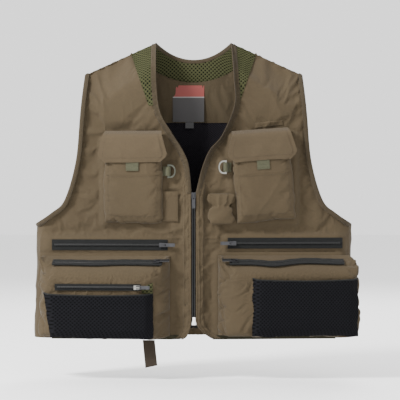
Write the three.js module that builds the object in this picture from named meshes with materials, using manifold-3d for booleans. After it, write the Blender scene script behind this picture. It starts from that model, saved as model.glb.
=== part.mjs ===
// Sleeveless fishing vest, zipped up and hanging as worn. Millimetres, +Z up, the fronts face -Y.
// The origin is the top edge of the collar at the centre of the back.
// "right" and "left" are the wearer's: right is -X, left is +X.
// A height h on a front is measured outwards from the cloth's outer face.
import * as THREE from 'three';
import { mergeVertices } from 'three/addons/utils/BufferGeometryUtils.js';
import Module from 'manifold-3d';

const wasm = await Module();
wasm.setup();

// ---------------------------------------------------------------- driving dimensions
const RIGHT = -1;
const LEFT = 1;
const CLOTH = 2;               // shell cloth with its lining
const GAP = 0.5;               // air left between two pieces that touch

const HEM_Z = -525;
const NECK_X = 72;             // half width of the neck at the shoulder seams
const NECK_Z = 22;             // shoulder seams rise this much above the centre back
const SHOULDER_X = 204;        // half width at the shoulder tips
const SHOULDER_SLOPE = 0.4;
const SIDE_X = 266;            // half width where the fronts pass into the side gores
const UNDERARM_X = 297;
const HEM_X = 300;

const SEAM_Y = -44;            // plane of the shoulder and side seams
const FRONT_DEPTH = 48;
const BACK_DEPTH = 44;
const SEAM_HALF = 3;           // the sheets stop this far from the seam plane
const FLAT_HALF = 20;          // the strip beside the front zip that faces straight ahead
const WRAP = THREE.MathUtils.degToRad(5);   // each front then turns back by this angle
const ROUND_HEIGHT = 70;       // height over which the shoulders round over

const ARMHOLE = [[SHOULDER_X, -31], [211, -110], [219, -195], [240, -267], [265, -292], [UNDERARM_X, -313]];
const NECK_EDGE = {
  right: [[72, 22], [70, -55], [63, -104], [42, -142], [20, -177], [9, -205], [4.2, -255]],
  left: [[72, 22], [76, -40], [77, -90], [54, -147], [32, -173], [18, -205], [4.2, -255]],
};
const FOLD_KINK = [188, -125]; // the leaf of a front ends on a line: neck, this point, armhole
const FOLD_END = [217, -176];
const COLLAR_DROP = 45;        // depth of the mesh collar at the centre back
const COLLAR_X = 118;          // where it runs out on the shoulder seam
const YOKE_Z = -120;           // lower edge of the facing inside the back

const ZIP_TOP = -252;
const ZIP_BOTTOM = -485.5;
const ZIP_GAP_HALF = 4.2;      // half the gap between the two front edges
const CORNER_TOP = -490;       // the lower front corners round off below this
const CORNER_CUT = { right: 17, left: 29 };

const WEBBING = 1.2;

// ---------------------------------------------------------------- materials
const COLOURS = {
  shell: [0x776853, 0.9, 0],
  greenMesh: [0x474a33, 0.95, 0],
  blackMesh: [0x232225, 0.95, 0],
  facing: [0x6a5c49, 0.92, 0],
  binding: [0x5c5545, 0.9, 0],
  webbing: [0x767862, 0.85, 0],
  tape: [0x212422, 0.85, 0],
  zipMetal: [0x55565a, 0.4, 0.9],
  ringMetal: [0x9c9c98, 0.3, 1],
  boxMetal: [0xf0edea, 0.35, 0.6],
  label: [0x403938, 0.8, 0],
  labelTab: [0x2b2a2c, 0.8, 0],
  hookLoop: [0x6d6150, 1, 0],
};

const vest = new THREE.Group();

// Adds one named piece to a group.
function piece(parent, name, geometry, look) {
  const [color, roughness, metalness] = COLOURS[look];
  const mesh = new THREE.Mesh(geometry, new THREE.MeshStandardMaterial({ color, roughness, metalness }));
  mesh.name = name;
  parent.add(mesh);
  return mesh;
}

// ---------------------------------------------------------------- solids
function toManifold(geometry) {
  const bare = geometry.clone();
  bare.deleteAttribute('normal');
  bare.deleteAttribute('uv');
  const merged = mergeVertices(bare, 1e-4);
  const vertProperties = new Float32Array(merged.attributes.position.array);
  const triVerts = new Uint32Array(merged.index.array);
  return new wasm.Manifold(new wasm.Mesh({ numProp: 3, vertProperties, triVerts }));
}

function fromManifold(solid) {
  const { vertProperties, triVerts } = solid.getMesh();
  const geometry = new THREE.BufferGeometry();
  geometry.setAttribute('position', new THREE.BufferAttribute(new Float32Array(vertProperties), 3));
  geometry.setIndex(new THREE.BufferAttribute(new Uint32Array(triVerts), 1));
  return geometry;
}

function join(...geometries) {
  return fromManifold(geometries.map(toManifold).reduce((a, b) => a.add(b)));
}

function cut(geometry, ...tools) {
  return fromManifold(tools.map(toManifold).reduce((a, b) => a.subtract(b), toManifold(geometry)));
}

function common(a, b) {
  return fromManifold(toManifold(a).intersect(toManifold(b)));
}

// A box from ranges of x and z and a range of heights h, which run towards -Y.
function block(x0, x1, z0, z1, h0, h1) {
  const box = new THREE.BoxGeometry(x1 - x0, h1 - h0, z1 - z0);
  return box.translate((x0 + x1) / 2, -(h0 + h1) / 2, (z0 + z1) / 2);
}

// An outline in x and z, made solid between two heights.
function plate(shape, h0, h1, segments = 6) {
  const settings = { depth: h1 - h0, bevelEnabled: false, curveSegments: segments };
  const geometry = new THREE.ExtrudeGeometry(shape, settings);
  return geometry.rotateX(Math.PI / 2).translate(0, -h0, 0);
}

// A section in y and z, made solid along x.
function bar(points, x0, x1) {
  const shape = new THREE.Shape(points.map(([z, h]) => new THREE.Vector2(h, z)));
  const geometry = new THREE.ExtrudeGeometry(shape, { depth: x1 - x0, bevelEnabled: false });
  // shape x is the height, shape y is z, depth is x
  const turn = new THREE.Matrix4().set(0, 0, 1, x0, -1, 0, 0, 0, 0, 1, 0, 0, 0, 0, 0, 1);
  return flipIfInside(geometry.applyMatrix4(turn));
}

function outline(points) {
  return new THREE.Shape(points.map(([x, z]) => new THREE.Vector2(x, z)));
}

// A rectangle whose corners are rounded: lower ones by low, upper ones by high.
function panelShape(x0, x1, z0, z1, low, high = 0.01) {
  const shape = new THREE.Shape();
  shape.moveTo(x0 + low, z0);
  shape.lineTo(x1 - low, z0);
  shape.quadraticCurveTo(x1, z0, x1, z0 + low);
  shape.lineTo(x1, z1 - high);
  shape.quadraticCurveTo(x1, z1, x1 - high, z1);
  shape.lineTo(x0 + high, z1);
  shape.quadraticCurveTo(x0, z1, x0, z1 - high);
  shape.lineTo(x0, z0 + low);
  shape.quadraticCurveTo(x0, z0, x0 + low, z0);
  return shape;
}

function signedVolume(positions, index) {
  const a = new THREE.Vector3();
  const b = new THREE.Vector3();
  const c = new THREE.Vector3();
  let sum = 0;
  for (let i = 0; i < index.length; i += 3) {
    a.fromArray(positions, index[i] * 3);
    b.fromArray(positions, index[i + 1] * 3);
    c.fromArray(positions, index[i + 2] * 3);
    sum += a.dot(b.cross(c));
  }
  return sum;
}

// Turns a closed mesh's faces round if they point inwards.
function flipIfInside(geometry) {
  const merged = geometry.index ? geometry : mergeVertices(geometry, 1e-5);
  const index = Array.from(merged.index.array);
  if (signedVolume(merged.attributes.position.array, index) < 0) {
    for (let i = 0; i < index.length; i += 3) {
      [index[i + 1], index[i + 2]] = [index[i + 2], index[i + 1]];
    }
    merged.setIndex(index);
  }
  return merged;
}

// A closed sheet from two grids of points, its outer and its inner face.
function sheet(outer, inner) {
  const rows = outer.length;
  const columns = outer[0].length;
  const positions = [];
  for (const grid of [outer, inner]) {
    for (const row of grid) {
      for (const point of row) positions.push(...point);
    }
  }
  const at = (side, i, j) => side * rows * columns + i * columns + j;
  const index = [];
  const quad = (a, b, c, d) => index.push(a, b, c, a, c, d);
  for (let i = 0; i < rows - 1; i += 1) {
    for (let j = 0; j < columns - 1; j += 1) {
      quad(at(0, i, j), at(0, i, j + 1), at(0, i + 1, j + 1), at(0, i + 1, j));
      quad(at(1, i, j), at(1, i + 1, j), at(1, i + 1, j + 1), at(1, i, j + 1));
    }
  }
  for (let j = 0; j < columns - 1; j += 1) {
    quad(at(0, 0, j), at(1, 0, j), at(1, 0, j + 1), at(0, 0, j + 1));
    quad(at(0, rows - 1, j), at(0, rows - 1, j + 1), at(1, rows - 1, j + 1), at(1, rows - 1, j));
  }
  for (let i = 0; i < rows - 1; i += 1) {
    quad(at(0, i, 0), at(0, i + 1, 0), at(1, i + 1, 0), at(1, i, 0));
    quad(at(0, i, columns - 1), at(1, i, columns - 1), at(1, i + 1, columns - 1), at(0, i + 1, columns - 1));
  }
  const geometry = new THREE.BufferGeometry();
  geometry.setAttribute('position', new THREE.Float32BufferAttribute(positions, 3));
  geometry.setIndex(index);
  return flipIfInside(geometry);
}

// ---------------------------------------------------------------- the body's surfaces
function shoulderZ(x) {
  const a = Math.abs(x);
  if (a > NECK_X) return NECK_Z - (a - NECK_X) * SHOULDER_SLOPE;
  return NECK_Z + 50 * (1 - (a / NECK_X) ** 2);
}

// How far the cloth stands from the seam plane.
function depthAt(x, z, full) {
  const flat = full - Math.tan(WRAP) * Math.max(0, Math.abs(x) - FLAT_HALF);
  const t = THREE.MathUtils.clamp((shoulderZ(x) - z) / ROUND_HEIGHT, 0, 1);
  return SEAM_HALF + (flat - SEAM_HALF) * Math.sin(t * Math.PI / 2);
}

const frontPoint = (x, z, h) => [x, SEAM_Y - depthAt(x, z, FRONT_DEPTH) - h, z];
const backPoint = (x, z, h) => [x, SEAM_Y + depthAt(x, z, BACK_DEPTH) + h, z];

// A sheet that lies on a surface between two heights, over a grid of [x, z].
function cloth(surface, grid, h0, h1) {
  const face = (h) => grid.map((row) => row.map(([x, z]) => surface(x, z, h)));
  return sheet(face(h1), face(h0));
}

// Reads a curve of [u, v] samples at u, where u only grows or only falls.
function reader(points, samples = 60, along = 0) {
  const curve = new THREE.SplineCurve(points.map(([x, z]) => new THREE.Vector2(x, z)));
  const line = curve.getPoints(samples).map((p) => (along === 0 ? [p.x, p.y] : [p.y, p.x]));
  if (line[0][0] > line[line.length - 1][0]) line.reverse();
  return (u) => {
    let k = 1;
    while (k < line.length - 1 && line[k][0] < u) k += 1;
    const [u0, v0] = line[k - 1];
    const [u1, v1] = line[k];
    return v0 + (v1 - v0) * THREE.MathUtils.clamp((u - u0) / (u1 - u0), 0, 1);
  };
}

const armholeZ = reader(ARMHOLE);
const armholeX = reader(ARMHOLE, 60, 1);
const neckEdgeX = { right: reader(NECK_EDGE.right, 60, 1), left: reader(NECK_EDGE.left, 60, 1) };

// Top edge of a whole front or back at half width x.
function topZ(x) {
  const a = Math.abs(x);
  if (a < NECK_X) return NECK_Z * (a / NECK_X) ** 2;
  return a < SHOULDER_X ? shoulderZ(a) : armholeZ(a);
}

// Lower edge of the mesh collar.
function collarZ(x) {
  const rise = COLLAR_DROP + shoulderZ(COLLAR_X);
  return -COLLAR_DROP + rise * (x / COLLAR_X) ** 2;
}

// The line on which a front folds open, for the wearer's left.
function foldZ(x) {
  const [kx, kz] = FOLD_KINK;
  const [ex, ez] = FOLD_END;
  if (x < kx) return NECK_Z + (kz - NECK_Z) * (x - NECK_X) / (kx - NECK_X);
  return kz + (ez - kz) * (x - kx) / (ex - kx);
}

function foldX(z) {
  const [kx, kz] = FOLD_KINK;
  const [ex, ez] = FOLD_END;
  if (z > kz) return NECK_X + (kx - NECK_X) * (z - NECK_Z) / (kz - NECK_Z);
  return kx + (ex - kx) * (z - kz) / (ez - kz);
}

// Inner and outer edge of a front's leaf at height z, for either side.
function innerX(side, z) {
  if (z > ZIP_TOP - 3) return neckEdgeX[side](z);
  const t = Math.max(0, (CORNER_TOP - z) / (CORNER_TOP - HEM_Z));
  return ZIP_GAP_HALF + CORNER_CUT[side] * t * t;
}

function leafOuterX(z) {
  if (z > FOLD_END[1]) return foldX(z) - GAP;
  return Math.min(SIDE_X - GAP, armholeX(z));
}

const steps = (a, b, n) => Array.from({ length: n + 1 }, (_, i) => a + (b - a) * i / n);
const mirrored = (xs) => [...xs.slice(1).reverse().map((x) => -x), ...xs];

// Grid in columns: each column runs from low(x) to high(x), its rows closer together at the top.
function columns(xs, low, high, rows) {
  return steps(0, 1, rows).map((t) => xs.map((x) => {
    const eased = 1 - (1 - t) ** 1.8;
    return [x, low(x) + (high(x) - low(x)) * eased];
  }));
}

// ---------------------------------------------------------------- back
const backXs = mirrored([
  0, 25, 50, NECK_X, 95, COLLAR_X, 145, 175, SHOULDER_X, 208, 211, 214.5, 219, 228, 240, 252, SIDE_X - GAP,
]);
const backTop = (x) => (Math.abs(x) < COLLAR_X ? collarZ(x) - 4 * GAP : topZ(x));
piece(vest, 'back_panel', cloth(backPoint, columns(backXs, () => HEM_Z, backTop, 11), -CLOTH, 0), 'shell');

const collarXs = mirrored([0, 18, 36, 54, NECK_X, 86, 100, COLLAR_X - 8]);
piece(vest, 'collar_mesh', cloth(backPoint, columns(collarXs, collarZ, topZ, 4), -CLOTH, 0), 'greenMesh');

// binding over the collar's top edge
const NECK_TRIM = 2.4;
const trimXs = mirrored([0, 14, 28, 42, 56, NECK_X - 1]);
const neckTrim = [GAP, GAP + NECK_TRIM].map((rise) => trimXs.map((x) => [x, topZ(x) + rise]));
piece(vest, 'neck_binding', cloth(backPoint, neckTrim, -CLOTH - 0.4, 0.4), 'binding');

const FACING = -CLOTH - 4;     // outer height of what hangs inside the back
const facingXs = mirrored([0, FLAT_HALF, 50, 80]);
const facingTop = (x) => Math.min(collarZ(x) - 1, -32);
piece(vest, 'yoke_facing',
  cloth(backPoint, columns(facingXs, () => YOKE_Z + 0.5, facingTop, 7), FACING, FACING + 1), 'facing');
const liningXs = mirrored([0, FLAT_HALF, 110, 200]);
piece(vest, 'back_lining_mesh',
  cloth(backPoint, columns(liningXs, () => HEM_Z + 12, () => YOKE_Z - 0.5, 4), FACING, FACING + 1),
  'blackMesh');

const LABEL = { x0: -40, x1: 20, z0: -118, z1: -48, h: 9 };
const insideBack = (x0, x1, z0, z1) => block(x0, x1, z0, z1, LABEL.h, LABEL.h + 0.8);
piece(vest, 'neck_label', insideBack(LABEL.x0, LABEL.x1, LABEL.z0, LABEL.z1), 'label');
piece(vest, 'size_tab', insideBack(-16, 0, -130, LABEL.z0 - GAP), 'labelTab');

// ---------------------------------------------------------------- fronts, sides and edges
function sideGore(side) {
  const arc = steps(-90, 90, 10).map((degrees) => THREE.MathUtils.degToRad(degrees));
  const face = (inset) => steps(0, 1, 4).map((t) => arc.map((angle) => {
    const reach = THREE.MathUtils.lerp(UNDERARM_X, HEM_X, 1 - t) - SIDE_X - inset;
    const x = SIDE_X + GAP + Math.cos(angle) * reach;
    const full = depthAt(SIDE_X, HEM_Z, angle < 0 ? FRONT_DEPTH : BACK_DEPTH) - inset;
    const z = THREE.MathUtils.lerp(HEM_Z, armholeZ(Math.min(x, UNDERARM_X)), t);
    return [side * x, SEAM_Y + Math.sin(angle) * full, z];
  }));
  return sheet(face(0), face(CLOTH));
}

function shoulderPanel(side) {
  const xs = [79, 90, 105, 122, 140, 158, 175, FOLD_KINK[0], 197, SHOULDER_X, 208, 211, 213.5];
  const grid = columns(xs, (x) => foldZ(x) + GAP, topZ, 7);
  return cloth(frontPoint, grid.map((row) => row.map(([x, z]) => [side * x, z])), -CLOTH, 0);
}

// A loop of binding round an armhole, held just off the cloth's edge.
function armholeBinding(side) {
  const edge = new THREE.SplineCurve(ARMHOLE.map(([x, z]) => new THREE.Vector2(x, z))).getPoints(14);
  const off = 1.2;
  const width = 3;
  const rings = [];
  const addRing = (x, z, y, nx, nz, half) => {
    const ring = (r, dy) => [side * (x + nx * r), y + dy, z + nz * r];
    rings.push([ring(off, -half), ring(off + width, -half), ring(off + width, half), ring(off, half)]);
  };
  const normals = edge.map((p, i) => {
    const a = edge[Math.max(0, i - 1)];
    const b = edge[Math.min(edge.length - 1, i + 1)];
    const length = Math.hypot(b.x - a.x, b.y - a.y);
    return [-(b.y - a.y) / length, (b.x - a.x) / length];
  });
  const depthOf = (p, full) => {
    const x = Math.min(p.x, SIDE_X);
    const reach = Math.max(0, p.x - SIDE_X) / (UNDERARM_X - SIDE_X);
    return depthAt(x, p.y, full) * Math.sqrt(Math.max(0, 1 - reach * reach));
  };
  edge.forEach((p, i) => {
    const y = SEAM_Y - depthOf(p, FRONT_DEPTH) + CLOTH / 2;
    addRing(p.x, p.y, Math.min(y, SEAM_Y - 2), ...normals[i], 1.2);
  });
  for (let i = edge.length - 1; i >= 0; i -= 1) {
    const y = SEAM_Y + depthOf(edge[i], BACK_DEPTH) - CLOTH / 2;
    addRing(edge[i].x, edge[i].y, Math.max(y, SEAM_Y + 2), ...normals[i], -1.2);
  }
  return loopSolid(rings);
}

// Joins a closed chain of four-point rings into one solid.
function loopSolid(rings) {
  const positions = rings.flat(2);
  const index = [];
  rings.forEach((_, i) => {
    const next = (i + 1) % rings.length;
    for (let j = 0; j < 4; j += 1) {
      const k = (j + 1) % 4;
      const [a, b, c, d] = [i * 4 + j, i * 4 + k, next * 4 + k, next * 4 + j];
      index.push(a, b, c, a, c, d);
    }
  });
  const geometry = new THREE.BufferGeometry();
  geometry.setAttribute('position', new THREE.Float32BufferAttribute(positions, 3));
  geometry.setIndex(index);
  return flipIfInside(geometry);
}

const LEAF_ROWS = [
  HEM_Z, -517, -508, -499, CORNER_TOP, -400, -313, -300, -293, -285, -276, -267, -255, -235, -215, -195,
  FOLD_END[1], -160, -142, FOLD_KINK[1], -108, -90, -70, -50, -35, -20, -8, 4, 12,
];

// A front's cloth between two edges, which are functions of z.
function frontStrip(side, zs, from, to, h0, h1, inner = 5) {
  const sign = side === 'right' ? RIGHT : LEFT;
  const grid = zs.map((z) => {
    const a = from(z);
    const kink = Math.max(FLAT_HALF, a + 1);
    const b = to(z);
    const xs = inner === 1 ? [a, b] : [a, ...steps(Math.min(kink, b - 1), b, inner - 1)];
    return xs.map((x) => [sign * x, z]);
  });
  return cloth(frontPoint, grid, h0, h1);
}

const BINDING_WIDTH = 8.5;
const INSERT_TIP = [84, -90];  // lowest corner of the mesh insert beside the neck
function insertX(z) {
  const [tx, tz] = INSERT_TIP;
  const topX = COLLAR_X;
  const outer = tx + (topX - tx) * (z - tz) / (shoulderZ(topX) - tz);
  return Math.min(outer, foldX(z) - 2 * GAP);
}

for (const side of ['right', 'left']) {
  const sign = side === 'right' ? RIGHT : LEFT;
  const edgeX = (z) => innerX(side, z);
  piece(vest, `shoulder_panel_${side}`, shoulderPanel(sign), 'shell');
  piece(vest, `side_gore_${side}`, sideGore(sign), 'shell');
  piece(vest, `armhole_binding_${side}`, armholeBinding(sign), 'binding');
  piece(vest, `front_panel_${side}`, frontStrip(side, LEAF_ROWS, edgeX, leafOuterX, -CLOTH, 0), 'shell');
  const bindingRows = LEAF_ROWS.filter((z) => z >= -235 && z < 10);
  const bindingEdge = (z) => Math.min(edgeX(z) + BINDING_WIDTH, foldX(z) - 2 * GAP);
  piece(vest, `neck_edge_binding_${side}`,
    frontStrip(side, bindingRows, edgeX, bindingEdge, GAP, GAP + 1.2, 1), 'binding');
  const insertRows = [-78, -70, -60, -50, -40, -30, -20, -12];
  const insertStart = (z) => edgeX(z) + BINDING_WIDTH + GAP;
  const insertEnd = (z) => Math.max(insertX(z), insertStart(z) + 1);
  piece(vest, `shoulder_mesh_${side}`,
    frontStrip(side, insertRows, insertStart, insertEnd, 3 * GAP, 3 * GAP + 1, 1), 'greenMesh');
}

// The plane of a front beyond its flat strip: local x runs along the cloth, local -y is outwards.
function frontPlane(sign) {
  const group = new THREE.Group();
  group.position.y = SEAM_Y - FRONT_DEPTH - FLAT_HALF * Math.tan(WRAP);
  group.rotation.z = sign * WRAP;
  vest.add(group);
  return group;
}
const plane = { right: frontPlane(RIGHT), left: frontPlane(LEFT) };

// ---------------------------------------------------------------- zips
const COIL = { half: 2.2, h0: 1.2, h1: 3.2 };
const SLIDER = { half: 5.5, wall: 1.3, top: 5 };
const PULL = { axis: 6.35, thick: 1.5, reach: 24, half: 3.2 };

// The arch on a slider's top plate, along x, that the pull's eye hangs on.
function arch(z = 0) {
  const foot = [3.4, 4.8];
  return [
    block(-foot[1], -foot[0], z - 0.9, z + 0.9, SLIDER.top - 0.5, 8.4),
    block(foot[0], foot[1], z - 0.9, z + 0.9, SLIDER.top - 0.5, 8.4),
    block(-foot[1], foot[1], z - 0.9, z + 0.9, 7.5, 8.8),
  ];
}

// A slider that sits astride the coil. It runs along x.
function slider() {
  const inside = COIL.half + 0.4;
  const outside = inside + SLIDER.wall;
  const body = block(-SLIDER.half, SLIDER.half, -outside, outside, COIL.h0 + 0.6, SLIDER.top);
  const channel = block(-SLIDER.half - 1, SLIDER.half + 1, -inside, inside, 0, COIL.h1 + 0.4);
  return join(cut(body, channel), ...arch());
}

// A pull whose eye goes round the arch. It lies along +x from its hinge, at the origin's x.
function pull(z = 0) {
  const h0 = PULL.axis - PULL.thick / 2;
  const h1 = PULL.axis + PULL.thick / 2;
  const tag = panelShape(-PULL.thick / 2, PULL.reach, z - PULL.half, z + PULL.half, 0.7, 0.7);
  const eye = block(PULL.thick / 2, 7, z - 1.6, z + 1.6, h0 - 1, h1 + 1);
  return cut(plate(tag, h0, h1, 3), eye);
}

// A zip along x in its own group: tape with the closed coil, slider and pull.
// The slider starts at `start` and the pull points along `way`.
function zip(parent, names, length, tapeHeight, start, way) {
  const half = length / 2;
  const tape = join(
    block(-half, half, -tapeHeight / 2, tapeHeight / 2, GAP, COIL.h0 + 0.1),
    block(-half + 4, half - 4, -COIL.half, COIL.half, COIL.h0, COIL.h1),
  );
  piece(parent, `${names}_zip`, tape, 'tape');
  const runner = new THREE.Group();
  runner.position.x = start;
  if (way < 0) runner.rotation.y = Math.PI;
  parent.add(runner);
  piece(runner, `${names}_slider`, slider(), 'zipMetal');
  piece(runner, `${names}_pull`, pull(), 'zipMetal');
}

function placed(parent, x, h, z, tilt = 0, lean = 0) {
  const group = new THREE.Group();
  group.position.set(x, -h, z);
  group.rotation.set(lean, tilt, 0);
  parent.add(group);
  return group;
}

// Front zip: each half is a tape behind the front edge with its row of coil in the gap.
const ROW = { x0: 1.3, x1: 3.4, h0: -3.4, h1: 0.4 };
const frontZip = new THREE.Group();
frontZip.position.y = SEAM_Y - FRONT_DEPTH;
vest.add(frontZip);
const TAPE_X = 16;
const TAPE_END = -505;
piece(frontZip, 'front_zip_right', join(
  block(-TAPE_X, -ROW.x1 + 0.2, TAPE_END, ZIP_TOP, ROW.h0, -CLOTH - GAP),
  block(-ROW.x1, -ROW.x0, -499, ZIP_TOP, ROW.h0, ROW.h1),
), 'tape');
piece(frontZip, 'front_zip_left', join(
  block(ROW.x1 - 0.2, TAPE_X, TAPE_END, ZIP_TOP, ROW.h0, -CLOTH - GAP),
  block(ROW.x0, ROW.x1, ZIP_BOTTOM, ZIP_TOP, ROW.h0, ROW.h1),
), 'tape');
piece(frontZip, 'front_zip_box',
  block(-0.9, ROW.x1 - 0.6, -499.5, ZIP_BOTTOM - GAP, ROW.h0, 1.8), 'boxMetal');

// The front slider holds on to the left row, so that the right front can leave it.
const frontRunner = new THREE.Group();
const SLIDER_Z = ZIP_TOP - 1 - SLIDER.half;
frontRunner.position.set(0, 0, SLIDER_Z);
frontRunner.rotation.y = Math.PI / 2;      // local x runs down the zip, local z to the wearer's left
frontZip.add(frontRunner);
const HOLD = { z0: -0.8, z1: 5.6 };        // across the row
const frontDrop = SLIDER.top - 2.4;        // its top plate lies lower than the other sliders'
const frontSlider = join(
  block(-SLIDER.half, SLIDER.half, HOLD.z0, HOLD.z1, 0.9, 2.4),
  block(-SLIDER.half, SLIDER.half, HOLD.z0, HOLD.z1, ROW.h0 - 2, ROW.h0 - 0.6),
  block(-SLIDER.half, SLIDER.half, HOLD.z0, ROW.x0 - 0.5, ROW.h0 - 1, 1.5),
  ...arch(2.6).map((part) => part.translate(0, frontDrop, 0)),
);
piece(frontRunner, 'front_slider', frontSlider, 'zipMetal');
piece(frontRunner, 'front_pull', pull(2.6).translate(0, frontDrop, 0), 'zipMetal');

// ---------------------------------------------------------------- chest pockets
const CHEST = {
  half: 53, top: -17, bottom: -169, h0: 1.8, h1: 16.8, wall: 1.6,
  flapTop: 52.5, flapWide: 65, flapWideZ: -43, flapLow: 51, flapBottom: -58,
};

function chestPocket(side, x, z, tilt) {
  const group = placed(plane[side], x, 0, z, tilt);
  const { half, top, bottom, h0, h1, wall } = CHEST;
  const shell = plate(panelShape(-half, half, bottom, top, 12), h0, h1);
  const hollow = plate(panelShape(-half + wall, half - wall, bottom + wall, top + 5, 11), h0 - 1, h1 - wall);
  piece(group, `chest_pouch_${side}`, cut(shell, hollow), 'shell');
  piece(group, `flap_loop_tape_${side}`, block(-34, 34, -44, -26, h1 + 0.3, h1 + 1.3), 'hookLoop');

  const { flapTop, flapWide, flapWideZ, flapLow, flapBottom } = CHEST;
  const cutout = outline([
    [-flapTop, 1.5], [-flapWide, flapWideZ], [-flapLow, flapBottom],
    [flapLow, flapBottom], [flapWide, flapWideZ], [flapTop, 1.5],
  ]);
  const section = bar([[1, 1], [-11.5, 22], [-60, 22], [-60, 20.2], [-12.6, 20.2], [-0.9, 1]], -70, 70);
  piece(group, `chest_flap_${side}`, common(plate(cutout, 0, 30), section), 'shell');
  piece(group, `flap_hook_tape_${side}`, block(-34, 34, -44, -26, h1 + 1.9, h1 + 2.9), 'hookLoop');
  piece(group, `flap_tab_${side}`, block(-12, 12, -74, -49, h1 + 1.7, h1 + 2.9), 'webbing');
}
chestPocket('right', -112.5, -139, 0);
chestPocket('left', 123.5, -136, THREE.MathUtils.degToRad(-4.3));

// ---------------------------------------------------------------- D-rings
const RING = { reach: 17, half: 12.6, wire: 3, loopHalf: 8.6, h: 5.4 };

function dRing(side, x, z) {
  const inward = side === 'right' ? 1 : -1;
  const group = placed(plane[side], x, 0, z);
  const { reach, half, wire } = RING;
  const dShape = (inset) => {
    const shape = new THREE.Shape();
    const back = -wire / 2 + inset;
    const tall = half - inset;
    shape.moveTo(inward * back, -tall);
    shape.lineTo(inward * 4, -tall);
    shape.bezierCurveTo(inward * (reach - inset), -tall, inward * (reach - inset), tall, inward * 4, tall);
    shape.lineTo(inward * back, tall);
    shape.closePath();
    return shape;
  };
  const ring = cut(plate(dShape(0), RING.h - wire / 2, RING.h + wire / 2, 9),
    plate(dShape(wire), 0, RING.h + wire, 9));
  piece(group, `d_ring_${side}`, ring, 'ringMetal');

  // webbing folded round the ring's bar and sewn down beside the pocket
  const radius = RING.h - GAP;
  const loop = new THREE.Shape();
  loop.absarc(0, -RING.h, radius, 0, Math.PI * 2);
  const hole = new THREE.Path();
  hole.absarc(0, -RING.h, radius - WEBBING, 0, Math.PI * 2, true);
  loop.holes.push(hole);
  const settings = { depth: RING.loopHalf * 2, bevelEnabled: false, curveSegments: 8 };
  const fold = new THREE.ExtrudeGeometry(loop, settings);
  fold.translate(0, 0, -RING.loopHalf);
  const tail = [0, -inward * 11].sort((a, b) => a - b);
  const strip = block(tail[0], tail[1], -RING.loopHalf, RING.loopHalf, GAP, GAP + WEBBING);
  piece(group, `d_ring_tab_${side}`, join(fold, strip), 'webbing');
}
dRing('right', -46.6, -213.5);
dRing('left', 59.7, -206);

// ---------------------------------------------------------------- small pieces on the chest
piece(plane.right, 'slip_pocket_right', plate(panelShape(-104, -29, -307, -251, 6), GAP, 1.4, 3), 'shell');

// a short fabric holder, gathered in the middle
const holder = new THREE.Shape();
holder.moveTo(-23, 24);
holder.quadraticCurveTo(-12, 14, 0, 20);
holder.quadraticCurveTo(14, 14, 22, 25);
holder.quadraticCurveTo(26, 8, 17, -2);
holder.quadraticCurveTo(25, -26, 2, -32);
holder.quadraticCurveTo(-22, -28, -16, -2);
holder.quadraticCurveTo(-26, 8, -23, 24);
piece(placed(plane.left, 51, 0, -280), 'tool_holder_left', plate(holder, GAP, 13, 4), 'shell');

// ---------------------------------------------------------------- upper zipped pockets
const UPPER_TAPE = 20;
zip(placed(plane.right, -157.2, 0, -350.7), 'upper_right', 217.6, UPPER_TAPE, 99, 1);
zip(placed(plane.left, 171.8, 0, -347.5), 'upper_left', 216, UPPER_TAPE, -98, -1);

// ---------------------------------------------------------------- cargo pockets
// A block that tapers from a base at height h0 to a face at height h1. Edges are [x0, x1, z0, z1].
function frustum(base, face, h0, h1) {
  const corners = ([x0, x1, z0, z1], h) => [[x0, -h, z0], [x1, -h, z0], [x1, -h, z1], [x0, -h, z1]];
  const [a, b, c, d] = corners(base, h0);
  const [e, f, g, k] = corners(face, h1);
  return sheet([[e, f], [k, g]], [[a, b], [d, c]]);
}

const inset = ([x0, x1, z0, z1], by) => [x0 + by, x1 - by, z0 + by, z1 - by];
const CARGO = { h0: 1.8, h1: 38, wall: 1.6 };
const CARGO_TAPE = 17;

function cargoPocket(side, base, face, zipX, zipLength, start, way) {
  const outer = frustum(base, face, CARGO.h0, CARGO.h1);
  const rim = inset(base, CARGO.wall * 1.2);
  const hollow = frustum(rim, inset(face, CARGO.wall * 1.2), CARGO.h0 - 0.01, CARGO.h1 - CARGO.wall);
  const mouth = frustum(rim, rim, CARGO.h0 - 2, CARGO.h0 + 0.02);
  piece(plane[side], `cargo_pocket_${side}`, cut(outer, hollow, mouth), 'shell');
  const rise = CARGO.h1 - CARGO.h0;
  const drop = base[3] - face[3];
  const lean = -Math.atan2(rise, drop);
  const middle = 0.5;
  const group = placed(plane[side], zipX, CARGO.h0 + rise * middle, base[3] - drop * middle, 0, lean);
  zip(group, `cargo_${side}`, zipLength, CARGO_TAPE, start, way);
}
cargoPocket('right', [-284, -44, -524, -371], [-280, -70, -522, -397], -159, 205, 92, 1);
cargoPocket('left', [46, 292, -522, -370], [62, 312, -519, -396], 172, 214, -97, -1);

// ---------------------------------------------------------------- mesh pockets on the cargo pockets
const MESH = { depth: 9, wall: 1.3 };

function meshPocket(side, [x0, x1, z0, z1], cornerRadius) {
  const h0 = CARGO.h1 + GAP;
  const h1 = h0 + MESH.depth;
  const body = plate(panelShape(x0, x1, z0, z1, cornerRadius), h0, h1);
  const hollow = plate(panelShape(x0 + MESH.wall, x1 - MESH.wall, z0 + MESH.wall, z1 + 5, cornerRadius),
    h0 - 1, h1 - MESH.wall);
  piece(plane[side], `mesh_pocket_${side}`, cut(body, hollow), 'blackMesh');
}
meshPocket('right', [-275, -72, -521, -440], 5);
meshPocket('left', [106, 302, -518, -413], 5);
zip(placed(plane.right, -174, CARGO.h1, -428), 'mesh_right', 160, 12, 73, 1);

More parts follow.
